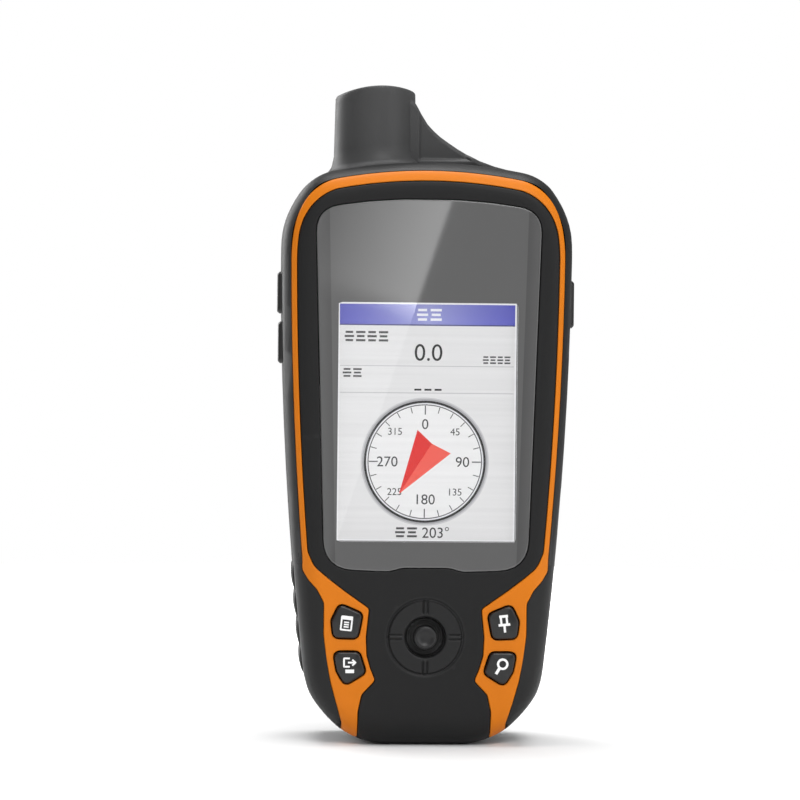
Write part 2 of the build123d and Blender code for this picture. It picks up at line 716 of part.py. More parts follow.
def side_key_back(z, height):
    """How far from the middle a flank key's inner end stays."""
    return flank_x(z) - BOARD_INSET + SIDE_PLUNGER + SIDE_KEY_TRAVEL + SHUT_LINE


def side_switches():
    """Side-acting switches on the back of the board, one behind each flank key."""
    group = []
    for side, z, height in SIDE_KEYS.values():
        edge = flank_x(z) - BOARD_INSET
        low = min(side * (edge - SIDE_SWITCH), side * edge)
        high = max(side * (edge - SIDE_SWITCH), side * edge)
        half = SIDE_SWITCH
        body = box((low, BOARD_BACK_Y, z - half), (high, SIDE_KEY_Y + SIDE_SWITCH_REACH, z + half))
        tip = sorted((side * (edge - 1), side * (edge + SIDE_PLUNGER)))
        group.append(body + cross_rod(SIDE_KEY_Y, z, PLUNGER_R - SEAT, *tip))
    return group


# --- Rear housing ----------------------------------------------------------
def antenna_stub():
    """Slightly conical stub with a domed top, down to where its tube ends inside the body."""
    foot_z = BODY_TOP - STUB_FOOT_R
    height = UNIT_TOP - foot_z
    stub = Pos(STUB_X, STUB_Y, foot_z + height / 2) * Cone(STUB_FOOT_R, STUB_TOP_R, height)
    stub &= Pos(STUB_X, STUB_Y, UNIT_TOP - STUB_DOME_R) * Sphere(STUB_DOME_R)
    level = [edge for edge in stub.edges() if edge.bounding_box().size.Z < SCREW_PLAY]
    rim = max(level, key=lambda edge: edge.center().Z)
    return fillet(rim, STUB_EDGE)


def stub_cavity():
    """Room for the antenna inside the stub, with a shelf for its board."""
    radius = STUB_TOP_R - STUB_WALL
    low = BODY_TOP - STUB_FOOT_R
    high = UNIT_TOP - 2 * STUB_WALL
    room = Pos(STUB_X, STUB_Y, (low + high) / 2) * Cylinder(radius, high - low)
    shelf = Cylinder(radius, SHELF_THICK) - Cylinder(radius - SHELF_REACH, SHELF_THICK)
    return room - Pos(STUB_X, STUB_Y, ANTENNA_BOARD_Z - SHELF_THICK / 2) * shelf


def stub_web():
    """Fin that runs from the stub down to the right shoulder in a hollow curve."""
    root_z = BODY_TOP - EDGE_ROUND
    start = (STUB_X + STUB_TOP_R, WEB_TOP_Z)
    end = (WEB_END_X, BODY_TOP - BROW_DROP - SHUT_LINE)
    edges = [Spline(start, WEB_MID, end, tangents=[(0.25, -1), (1, -0.25)])]
    edges += [Line(end, (WEB_END_X, root_z)), Line((WEB_END_X, root_z), (STUB_X, root_z))]
    edges += [Line((STUB_X, root_z), (STUB_X, WEB_TOP_Z)), Line((STUB_X, WEB_TOP_Z), start)]
    fin = slab(make_face(edges), STUB_Y - WEB_THICK / 2, STUB_Y + WEB_THICK / 2)
    return fin - INNER


def battery_bay():
    """Open box for two cells side by side, with a ledge that the cover sits on."""
    walls = box(
        (-BAY_HALF - BAY_WALL, BAY_FLOOR_Y, BAY_LOW_Z - BAY_WALL),
        (BAY_HALF + BAY_WALL, LEDGE_BACK_Y, BAY_TOP_Z + BAY_WALL),
    )
    width = 2 * COVER_HALF_WIDTH + 2 * LEDGE_DEPTH
    height = COVER_TOP_Z - COVER_LOW_Z + 2 * LEDGE_DEPTH
    corner = COVER_ROUND + LEDGE_DEPTH
    ledge = plate(0, COVER_Z, width, height, corner, LEDGE_BACK_Y - LEDGE_DEPTH, COVER_Y + WALL / 4)
    boss = rod(0, LATCH_Z, HUB_BOSS_R, COVER_Y - HUB_SHANK - LEDGE_DEPTH, LEDGE_BACK_Y)
    return walls + ledge + boss


def battery_bay_room():
    """What the bay leaves open: the cells' space, the cover's recess and the latch's bore."""
    room = box((-BAY_HALF, BAY_FLOOR_Y + BAY_WALL, BAY_LOW_Z), (BAY_HALF, FAR, BAY_TOP_Z))
    width = 2 * (COVER_HALF_WIDTH + COVER_PLAY)
    height = COVER_TOP_Z - COVER_LOW_Z + 2 * COVER_PLAY
    recess = plate(0, COVER_Z, width, height, COVER_ROUND + COVER_PLAY, LEDGE_BACK_Y, FAR)
    bore = rod(0, LATCH_Z, HUB_SHANK_R + PIVOT_PLAY, COVER_Y - HUB_SHANK - SEAT, FAR)
    return room + recess + bore


def port_pad():
    """Thick place behind the port cover, with two standoffs for the port board."""
    width, height = PORT_COVER_SIZE
    pad = plate(PORT_X, PORT_Z, width + 2 * WALL, height + 2 * WALL, 1.5, PORT_PAD_Y, NECK_Y - WALL / 2)
    for side in (-1, 1):
        x = PORT_X + side * STANDOFF_AT[0]
        z = PORT_Z + side * STANDOFF_AT[1]
        pad += rod(x, z, STANDOFF_R, PORT_BOARD_BACK_Y, PORT_PAD_Y + WALL / 2)
    return pad


def port_room():
    """Recess for the port cover and a hole for each socket."""
    width, height = PORT_COVER_SIZE
    play = 2 * KEY_PLAY
    room = plate(PORT_X, PORT_Z, width + play, height + play, KEY_PLAY, PORT_COVER_Y - SEAT, FAR)
    room += plate(USB_X, PORT_Z, USB_SIZE[0] + play, USB_SIZE[1] + play, 0.6, PORT_PAD_Y - 1, FAR)
    return room + rod(JACK_X, PORT_Z, JACK_R + KEY_PLAY, PORT_PAD_Y - 1, FAR)


def lanyard_box(wall):
    """The lanyard recess, or its wall when a thickness is given."""
    low = (-LANYARD_WIDTH / 2 - wall, BACK_Y - LANYARD_DEPTH - wall, LANYARD_Z - LANYARD_HEIGHT / 2 - wall)
    high = (LANYARD_WIDTH / 2 + wall, BACK_Y + 1, LANYARD_Z + LANYARD_HEIGHT / 2 + wall)
    return box(low, high)


def grip_block(side, grow):
    """The block of flank that one side grip takes, grown all round."""
    low_x, high_x = sorted((side * JAW_HALF / 2, side * 2 * BODY_HALF))
    low = (low_x, GRIP_FRONT_Y - grow, GRIP_LOW_Z - grow)
    return box(low, (high_x, GRIP_BACK_Y + grow, GRIP_TOP_Z + grow))


def rear_housing():
    """Rear shell: flanks, back, stub and web, battery bay, bosses, port recess and lanyard recess."""
    shell = SHELL - slab(HOUSING_CUT, AHEAD_Y, SEAM_Y)
    lip = inset_outline(WALL / 2) - inset_outline(SKIRT_INSET + SKIRT_WALL + 3 * SEAT)
    shell += slab(lip, LIP_Y, LIP_Y + WALL / 2)
    shell += antenna_stub() + stub_web()
    shell -= stub_cavity()
    shell += battery_bay()
    shell += port_pad()
    shell += lanyard_box(LANYARD_WALL) & OUTER
    for x, z in case_bosses():
        shell += rod(x, z, BOSS_R, BOSS_MEET_Y, BACK_Y) & OUTER
    shell -= battery_bay_room()
    shell -= port_room()
    shell -= lanyard_box(0)
    reach = LANYARD_WIDTH / 2 + LANYARD_WALL
    shell -= cross_rod(LANYARD_BAR_Y, LANYARD_Z, LANYARD_BAR_R + SCREW_PLAY, -reach, reach)
    for x, z in case_bosses():
        shell -= rod(x, z, CASE_SCREW_R + KEY_PLAY, AHEAD_Y, FAR)
        shell -= rod(x, z, CASE_HEAD_R + KEY_PLAY, BOSS_MEET_Y + CASE_SEAT, FAR)
    for side, z, height in SIDE_KEYS.values():
        shell -= side_key_hole(side, z, height)
    skin = OUTER - body_solid(GRIP_THICK + SHUT_LINE)
    for side in (-1, 1):
        shell -= skin & grip_block(side, SHUT_LINE)
    return shell


def side_grip(side):
    """Rubber pad let into the flank, with shallow hollows across it low down."""
    pad = (OUTER - body_solid(GRIP_THICK)) & grip_block(side, 0)
    for index in range(GRIP_GROOVES):
        z = GRIP_LOW_Z + GRIP_PITCH * (index + 0.5)
        x = side * (flank_x(z) + GRIP_GROOVE_R - GRIP_GROOVE)
        pad -= rod(x, z, GRIP_GROOVE_R, GRIP_FRONT_Y - 1, GRIP_BACK_Y + 1)
    return pad


def lanyard_bar():
    reach = LANYARD_WIDTH / 2 + LANYARD_WALL - SEAT
    return cross_rod(LANYARD_BAR_Y, LANYARD_Z, LANYARD_BAR_R, -reach, reach)


def perimeter_seal():
    """Rubber ring squeezed between the bezel's skirt and the rear shell's lip."""
    ring = inset_outline(SKIRT_INSET) - inset_outline(SKIRT_INSET + SKIRT_WALL)
    return slab(ring, SKIRT_BACK_Y, LIP_Y)


def case_screws():
    group = []
    for x, z in case_bosses():
        shank = rod(x, z, CASE_SCREW_R, BOSS_MEET_Y - CASE_SCREW_LENGTH, HEAD_Y)
        group.append(shank + rod(x, z, CASE_HEAD_R, HEAD_Y, HEAD_Y + CASE_HEAD))
    return group


# --- Antenna ---------------------------------------------------------------
def antenna_board():
    return Pos(STUB_X, STUB_Y, ANTENNA_BOARD_Z + ANTENNA_BOARD_THICK / 2) * Cylinder(
        ANTENNA_BOARD_R, ANTENNA_BOARD_THICK
    )


def antenna_core():
    """Ceramic core that carries the helical antenna's tracks."""
    low = ANTENNA_BOARD_Z + ANTENNA_BOARD_THICK
    return Pos(STUB_X, STUB_Y, low + CORE_HEIGHT / 2) * Cylinder(CORE_R, CORE_HEIGHT)


def coax_plug():
    """Snap-on plug on the board's back."""
    return rod(STUB_X, COAX_PLUG_Z, COAX_PLUG_R, BOARD_BACK_Y, BOARD_BACK_Y + COAX_PLUG_THICK)


def antenna_coax():
    """Lead from under the antenna board to the plug, as straight runs and arcs."""
    plug_y = BOARD_BACK_Y + COAX_PLUG_THICK / 2
    start_z = COAX_PLUG_Z + COAX_PLUG_R
    bend = (ANTENNA_BOARD_Z - start_z) / 4
    points = [
        (STUB_X, STUB_Y, ANTENNA_BOARD_Z),
        (STUB_X, STUB_Y, ANTENNA_BOARD_Z - bend),
        (STUB_X, plug_y, start_z + bend),
        (STUB_X, plug_y, start_z),
    ]
    turn = Vector(0, plug_y - STUB_Y, -2 * bend).get_angle(Vector(0, 0, -1))
    radius = 0.9 * bend / math.tan(math.radians(turn / 2))
    path = FilletPolyline(*points, radius=radius)
    print("antenna lead radii", round(radius, 2), "length", round(path.length, 1))
    return sweep(Plane(points[0], z_dir=(0, 0, -1)) * Circle(COAX_R), path=path)


# --- Battery side ----------------------------------------------------------
def battery_cell(side):
    """AA cell: its nub points up on the left and down on the right."""
    if side < 0:
        body_z, nub_z = CELL_LOW_Z, CELL_LOW_Z + CELL_LENGTH
    else:
        nub_z = BAY_LOW_Z + CONTACT_THICK + 2 * SEAT
        body_z = nub_z + CELL_NUB
    low = (Align.CENTER, Align.CENTER, Align.MIN)
    cell = Pos(side * CELL_X, CELL_Y, body_z) * Cylinder(CELL_R, CELL_LENGTH, align=low)
    return cell + Pos(side * CELL_X, CELL_Y, nub_z) * Cylinder(CELL_NUB_R, CELL_NUB, align=low)


def contact_plates():
    """Flat contacts where the cells' nubs touch."""
    group = []
    for side, z in ((-1, BAY_TOP_Z - SEAT - CONTACT_THICK), (1, BAY_LOW_Z + SEAT)):
        low = (side * CELL_X - CONTACT_WIDTH / 2, CELL_Y - CONTACT_WIDTH / 2, z)
        high = (side * CELL_X + CONTACT_WIDTH / 2, CELL_Y + CONTACT_WIDTH / 2, z + CONTACT_THICK)
        group.append(box(low, high))
    return group


def contact_springs():
    """Folded leaf springs against the cells' flat ends."""
    group = []
    room = SPRING_ROOM - 2 * SEAT - CONTACT_THICK
    for side, z, up in ((-1, BAY_LOW_Z + SEAT, 1), (1, BAY_TOP_Z - SEAT, -1)):
        half = CONTACT_WIDTH / 2
        levels = [0, 0, room / 2, room]
        across = [-half, half, -half, half]
        centre = [
            Vector(side * CELL_X + x, 0, z + up * (level + CONTACT_THICK / 2))
            for x, level in zip(across, levels)
        ]
        leaf = None
        for start, end in zip(centre, centre[1:]):
            run = end - start
            angle = math.degrees(math.atan2(run.Z, run.X))
            size = (run.length + CONTACT_THICK / 2, CONTACT_WIDTH * 2 / 3, CONTACT_THICK / 2)
            bar = Rot(0, -angle, 0) * Box(*size)
            middle = (start + end) * 0.5
            bar = Pos(middle.X, CELL_Y, middle.Z) * bar
            leaf = bar if leaf is None else leaf + bar
        group.append(leaf)
    return group


def cover_ring(outer_inset, inner_inset, front_y):
    """Ring round the bay's opening, between two insets from the bay's walls."""
    rings = []
    for inset in (outer_inset, inner_inset):
        rings.append(RectangleRounded(2 * (BAY_HALF - inset), BAY_HEIGHT - 2 * inset, 1.0))
    return slab(Pos(0, BAY_Z) * (rings[0] - rings[1]), front_y, COVER_Y)


def battery_cover():
    """Back cover with a lip that enters the bay and a stepped hole for the latch."""
    height = COVER_TOP_Z - COVER_LOW_Z
    cover = plate(0, COVER_Z, 2 * COVER_HALF_WIDTH, height, COVER_ROUND, COVER_Y, BACK_Y)
    cover = fillet(cover.faces().sort_by(Axis.Y)[-1].edges(), 0.5)
    outer = COVER_PLAY + COVER_SEAL + SEAT
    cover += cover_ring(outer, outer + COVER_LIP, COVER_Y - COVER_LIP_HEIGHT)
    cover -= rod(0, LATCH_Z, HUB_R + KEY_PLAY, HUB_Y - SEAT, FAR)
    return cover - rod(0, LATCH_Z, HUB_NECK_R + KEY_PLAY, AHEAD_Y, FAR)


def cover_seal():
    return cover_ring(COVER_PLAY, COVER_PLAY + COVER_SEAL, COVER_Y - COVER_LIP_HEIGHT + SEAT)


def latch_hub():
    """Quarter-turn fastener: head, neck, shank and the ear block for its ring."""
    hub = rod(0, LATCH_Z, HUB_R, HUB_Y, BACK_Y) + rod(0, LATCH_Z, HUB_NECK_R, COVER_Y, HUB_Y)
    hub += rod(0, LATCH_Z, HUB_SHANK_R, COVER_Y - HUB_SHANK, COVER_Y)
    top_y = LATCH_PIVOT_Y + EAR_HEIGHT / 2
    low = (-EAR_WIDTH / 2, HUB_Y, LATCH_PIVOT_Z - EAR_HEIGHT / 2)
    hub += box(low, (EAR_WIDTH / 2, top_y, LATCH_PIVOT_Z + EAR_HEIGHT / 2))
    return hub - cross_rod(LATCH_PIVOT_Y, LATCH_PIVOT_Z, RING_WIRE_R + PIVOT_PLAY, -HUB_R, HUB_R)


def latch_ring():
    """Folding ring whose straight top bar turns in the hub's ear block."""
    outer = RectangleRounded(
        LATCH_RING_WIDTH + 2 * RING_WIRE_R, LATCH_RING_LENGTH + 2 * RING_WIRE_R, LATCH_RING_ROUND
    )
    inner = RectangleRounded(
        LATCH_RING_WIDTH - 2 * RING_WIRE_R, LATCH_RING_LENGTH - 2 * RING_WIRE_R, LATCH_RING_ROUND / 2
    )
    place = Pos(0, LATCH_PIVOT_Z - LATCH_RING_LENGTH / 2)
    front, back = LATCH_PIVOT_Y - RING_WIRE_R, LATCH_PIVOT_Y + RING_WIRE_R
    frame = slab(place * (outer - inner), front, back)
    reach = LATCH_RING_WIDTH / 2 - RING_WIRE_R
    frame -= box((-reach, front - 1, LATCH_PIVOT_Z - 2), (reach, back + 1, LATCH_PIVOT_Z + 2))
    reach += RING_WIRE_R
    return frame + cross_rod(LATCH_PIVOT_Y, LATCH_PIVOT_Z, RING_WIRE_R, -reach, reach)


# --- Ports -----------------------------------------------------------------
def port_board():
    width, height, _ = PORT_BOARD
    return plate(PORT_X, PORT_Z, width, height, 0.8, PORT_BOARD_Y, PORT_BOARD_BACK_Y)


def usb_socket():
    """Socket shell with its slot."""
    width, height = USB_SIZE
    mouth_y = PORT_COVER_Y - 2 * SEAT
    shell = plate(USB_X, PORT_Z, width, height, 0.4, PORT_BOARD_BACK_Y, mouth_y)
    return shell - plate(USB_X, PORT_Z, width - 0.7, height - 1.1, 0.3, PORT_BOARD_BACK_Y + 1, FAR)


def antenna_jack():
    """Round socket for an outside antenna."""
    mouth_y = PORT_COVER_Y - 2 * SEAT
    jack = rod(JACK_X, PORT_Z, JACK_R, PORT_BOARD_BACK_Y, mouth_y)
    return jack - rod(JACK_X, PORT_Z, JACK_BORE_R, mouth_y - JACK_BORE_DEPTH, FAR)


def port_cover():
    """Rubber flap that turns about a round edge on its left."""
    width, height = PORT_COVER_SIZE
    low = (PORT_HINGE_X, PORT_COVER_Y, PORT_Z - height / 2)
    flap = box(low, (PORT_X + width / 2, NECK_Y, PORT_Z + height / 2))
    return flap + Pos(PORT_HINGE_X, PORT_AXIS_Y, PORT_Z) * Cylinder(PORT_COVER_THICK / 2, height)


# --- Assembly --------------------------------------------------------------
save("front_bezel", front_bezel())
save("trim_band", trim_band())
save("rear_housing", rear_housing())
save("side_grip_left", side_grip(-1))
save("side_grip_right", side_grip(1))
save("screen_window", screen_window())
save("window_tape", window_tape())
save("display_panel", display_panel())
save("display_tray", display_tray())
save("main_board", main_board())
save("board_screws", board_screws())
save("perimeter_seal", perimeter_seal())
save("keypad_mat", keypad_mat())
save("dome_switches", dome_switches())
for key_name, corners in KEYS.items():
    save(key_name, key_cap(corners))
save("joystick_boot", joystick_boot())
save("joystick_housing", joystick_housing())
save("joystick_gimbal", joystick_gimbal())
save("joystick_rocker", joystick_rocker())
save("joystick_stem", joystick_stem())
save("joystick_knob", joystick_knob())
for key_name, place in SIDE_KEYS.items():
    save(key_name, side_key(*place))
save("side_switches", side_switches())
save("buzzer", buzzer())
save("receiver_shield", receiver_shield())
save("antenna_board", antenna_board())
save("antenna_core", antenna_core())
save("antenna_coax", antenna_coax())
save("coax_plug", coax_plug())
save("battery_left", battery_cell(-1))
save("battery_right", battery_cell(1))
save("contact_plates", contact_plates())
save("contact_springs", contact_springs())
save("battery_cover", battery_cover())
save("cover_seal", cover_seal())
save("latch_hub", latch_hub())
save("latch_ring", latch_ring())
save("port_board", port_board())
save("usb_socket", usb_socket())
save("antenna_jack", antenna_jack())
save("port_cover", port_cover())
save("lanyard_bar", lanyard_bar())
save("case_screws", case_screws())

os.makedirs("parts", exist_ok=True)
for node, shape in nodes.items():
    solids = []
    for piece in shape if isinstance(shape, list) else [shape]:
        solids += piece.solids()
    export_step(Compound(children=solids), f"parts/{node}.step")
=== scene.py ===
"""Looks for the handheld GPS unit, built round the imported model. Sizes are in millimetres until a mesh is made."""

import json
import logging
import math
from dataclasses import dataclass, field
from enum import Enum
from typing import Callable, Sequence

import bmesh
import bpy
import numpy as np
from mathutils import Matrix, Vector
from mathutils.geometry import delaunay_2d_cdt


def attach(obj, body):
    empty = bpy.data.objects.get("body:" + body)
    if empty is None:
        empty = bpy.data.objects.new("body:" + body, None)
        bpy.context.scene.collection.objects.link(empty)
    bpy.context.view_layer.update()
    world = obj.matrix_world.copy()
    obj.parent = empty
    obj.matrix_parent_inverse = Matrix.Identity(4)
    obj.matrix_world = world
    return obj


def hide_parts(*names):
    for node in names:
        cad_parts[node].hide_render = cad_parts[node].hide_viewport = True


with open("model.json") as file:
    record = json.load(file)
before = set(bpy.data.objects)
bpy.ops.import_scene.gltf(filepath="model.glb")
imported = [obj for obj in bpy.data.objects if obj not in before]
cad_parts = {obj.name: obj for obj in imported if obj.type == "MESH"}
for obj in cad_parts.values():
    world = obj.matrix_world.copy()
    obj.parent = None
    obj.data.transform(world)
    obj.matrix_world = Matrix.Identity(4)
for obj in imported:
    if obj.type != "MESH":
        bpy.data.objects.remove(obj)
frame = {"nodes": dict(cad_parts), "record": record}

MM = 0.001
SMOOTH_ANGLE = math.radians(32)
LOG = logging.getLogger("gps_unit")

Array = np.ndarray
Depth = Callable[[Array, Array], Array]


class Side(Enum):
    """The two flanks, as the sign of X."""

    LEFT = -1
    RIGHT = 1


# --- Plane curves ------------------------------------------------------------
def arc_through(start: Sequence[float], middle: Sequence[float], end: Sequence[float], steps: int) -> Array:
    """Points on the circle through three points, from the first to the last.

    Args:
        start: first point.
        middle: a point between them.
        end: last point.
        steps: how many points.

    Returns:
        The points, one row each.
    """
    a, b, c = (complex(*p) for p in (start, middle, end))
    w = (c - a) / (b - a)
    centre = (b - a) * (w - abs(w) ** 2) / (2j * w.imag) + a
    angles = np.unwrap(np.angle(np.array([a - centre, b - centre, c - centre])))
    turn = np.linspace(angles[0], angles[2], steps)
    return np.column_stack([centre.real + abs(a - centre) * np.cos(turn), centre.imag + abs(a - centre) * np.sin(turn)])


def clamped_spline(knots: Array, start_slope: Array, end_slope: Array, steps: int) -> Array:
    """A smooth curve through three points with given directions at its ends.

    Each span is a cubic Hermite curve over its chord length, and the middle slope makes the bend continuous.

    Args:
        knots: three points, one row each.
        start_slope: unit direction at the first point.
        end_slope: unit direction at the last point.
        steps: points on each span.

    Returns:
        The points, one row each.
    """
    first, second = np.linalg.norm(np.diff(knots, axis=0), axis=1)
    pull = first * (knots[2] - knots[1]) / second + second * (knots[1] - knots[0]) / first
    middle = (3 * pull - second * start_slope - first * end_slope) / (2 * (first + second))
    spans = []
    for low, high, slope_low, slope_high, length in (
        (knots[0], knots[1], start_slope, middle, first),
        (knots[1], knots[2], middle, end_slope, second),
    ):
        t = np.linspace(0, 1, steps)[:, None]
        spans.append(
            (2 * t**3 - 3 * t**2 + 1) * low
            + (t**3 - 2 * t**2 + t) * length * slope_low
            + (3 * t**2 - 2 * t**3) * high
            + (t**3 - t**2) * length * slope_high
        )
    return np.vstack([spans[0], spans[1][1:]])


def resample(path: Array, step: float, closed: bool = True) -> Array:
    """The same curve with evenly spaced points.

    Args:
        path: points of the curve.
        step: spacing to aim at.
        closed: whether the last point joins the first.

    Returns:
        The new points.
    """
    whole = np.vstack([path, path[:1]]) if closed else path
    along = np.concatenate([[0], np.cumsum(np.linalg.norm(np.diff(whole, axis=0), axis=1))])
    count = max(8, int(round(along[-1] / step)))
    at = np.linspace(0, along[-1], count + 1)
    at = at[:-1] if closed else at
    return np.column_stack([np.interp(at, along, whole[:, k]) for k in range(whole.shape[1])])


def round_corners(points: Sequence[Sequence[float]], radii: Sequence[float], steps: int = 7) -> Array:
    """A closed polygon with each corner replaced by a parabola that touches both its sides.

    Args:
        points: corners, in order.
        radii: a radius for each corner.
        steps: points on each corner.

    Returns:
        The rounded outline.
    """
    corners = np.array(points, float)
    before, after = np.roll(corners, 1, 0) - corners, np.roll(corners, -1, 0) - corners
    length_b, length_a = np.linalg.norm(before, axis=1), np.linalg.norm(after, axis=1)
    u, v = before / length_b[:, None], after / length_a[:, None]
    half = np.arccos(np.clip((u * v).sum(1), -1, 1)) / 2
    reach = np.minimum(np.array(radii) / np.tan(half), 0.47 * np.minimum(length_a, length_b))[:, None]
    t = np.linspace(0, 1, steps)[None, :, None]
    low, high = (corners + u * reach)[:, None, :], (corners + v * reach)[:, None, :]
    curve = (1 - t) ** 2 * low + 2 * t * (1 - t) * corners[:, None, :] + t**2 * high
    return curve.reshape(-1, 2)


def left_normals(loop: Array) -> Array:
    """Unit normals to the left of a closed loop's direction, which is inwards on an anticlockwise loop."""
    along = np.roll(loop, -1, 0) - np.roll(loop, 1, 0)
    along /= np.maximum(np.linalg.norm(along, axis=1), 1e-9)[:, None]
    return np.column_stack([-along[:, 1], along[:, 0]])


def moved_in(loop: Array, distance: float) -> Array:
    """A closed loop with each point moved to its left by a distance."""
    return loop + left_normals(loop) * distance


def circle(x: float, z: float, radius: float, count: int, anticlockwise: bool = True) -> Array:
    """A circle as a closed loop."""
    turn = np.linspace(0, 2 * np.pi, count, endpoint=False) * (1 if anticlockwise else -1)
    return np.column_stack([x + radius * np.cos(turn), z + radius * np.sin(turn)])


def rectangle(x: float, z: float, width: float, height: float, corner: float = 0.01) -> Array:
    """A rectangle with rounded corners as an anticlockwise loop."""
    w, h = width / 2, height / 2
    corners = [(x - w, z - h), (x + w, z - h), (x + w, z + h), (x - w, z + h)]
    return round_corners(corners, [corner] * 4)


def distance_to(points: Array, loop: Array) -> Array:
    """Distance from each point to a closed loop: the least over all its segments.

    Args:
        points: where to measure, one row each.
        loop: the loop's points.

    Returns:
        One distance for each point.
    """
    side = np.roll(loop, -1, 0) - loop
    squared = np.maximum((side**2).sum(1), 1e-12)
    found = []
    for block in np.array_split(points, max(1, len(points) // 4096 + 1)):
        gap = block[:, None, :] - loop[None]
        share = np.clip((gap * side).sum(-1) / squared, 0, 1)
        found.append(np.sqrt(((gap - share[..., None] * side) ** 2).sum(-1).min(1)))
    return np.concatenate(found)


def inside(points: Array, loops: Sequence[Array]) -> Array:
    """Whether each point lies in the region that the loops bound, by the even-odd rule."""
    crossings = np.zeros(len(points), int)
    for loop in loops:
        following = np.roll(loop, -1, 0)
        rise = np.where(following[:, 1] == loop[:, 1], 1e-12, following[:, 1] - loop[:, 1])
        for block in np.array_split(np.arange(len(points)), max(1, len(points) // 4096 + 1)):
            x, z = points[block, 0][:, None], points[block, 1][:, None]
            spans = (loop[:, 1] > z) != (following[:, 1] > z)
            meets = x < loop[:, 0] + (z - loop[:, 1]) * (following[:, 0] - loop[:, 0]) / rise
            crossings[block] += (spans & meets).sum(1)
    return crossings % 2 == 1


def smooth_step(low: float, high: float, value: Array) -> Array:
    """Rises from 0 at low to 1 at high, with level ends."""
    t = np.clip((value - low) / (high - low), 0, 1)
    return t * t * (3 - 2 * t)


# --- Meshes ------------------------------------------------------------------
@dataclass
class Shape:
    """Points in millimetres, faces as index lists, and optionally a colour for each face."""

    points: Array
    faces: list
    colours: list = field(default_factory=list)

    def plus(self, other: "Shape") -> "Shape":
        """Both shapes as one."""
        offset = len(self.points)
        moved = [[i + offset for i in face] for face in other.faces]
        return Shape(np.vstack([self.points, other.points]), self.faces + moved, self.colours + other.colours)


def grid_faces(rows: int, columns: int, close_rows: bool = False, close_columns: bool = False) -> list:
    """Quads of a grid of points stored row by row.

    Args:
        rows: how many rows.
        columns: points in a row.
        close_rows: join the last row to the first.
        close_columns: join each row's end to its start.

    Returns:
        The quads.
    """
    r = np.arange(rows if close_rows else rows - 1)
    c = np.arange(columns if close_columns else columns - 1)
    r, c = (a.ravel() for a in np.meshgrid(r, c, indexing="ij"))
    nr, nc = (r + 1) % rows, (c + 1) % columns
    quads = np.column_stack([r * columns + c, r * columns + nc, nr * columns + nc, nr * columns + c])
    return quads.tolist()


def closed_tube(rings: Array, flip: bool = False) -> Shape:
    """A solid from rings of points, with a fan at each end.

    Args:
        rings: an array of rings, each an array of points.
        flip: turn the faces round.

    Returns:
        The closed shape.
    """
    count, around = rings.shape[:2]
    points = rings.reshape(-1, 3)
    faces = grid_faces(count, around, close_columns=True)
    ends = []
    for row, turned in ((0, True), (count - 1, False)):
        ring = [row * around + k for k in range(around)]
        centre = len(points) + len(ends)
        ends.append(rings[row].mean(0))
        fan = [[ring[k], ring[(k + 1) % around], centre] for k in range(around)]
        faces += [f[::-1] for f in fan] if turned else fan
    shape = Shape(np.vstack([points, ends]), faces)
    if flip:
        shape.faces = [face[::-1] for face in shape.faces]
    return shape


def quarter_round(radius: float, steps: int = 5) -> Array:
    """Distances in from an edge, and how far the surface has dropped there, for a quarter-circle edge."""
    turn = np.linspace(0, np.pi / 2, steps)
    return np.column_stack([radius * (1 - np.cos(turn)), radius * (1 - np.sin(turn))])


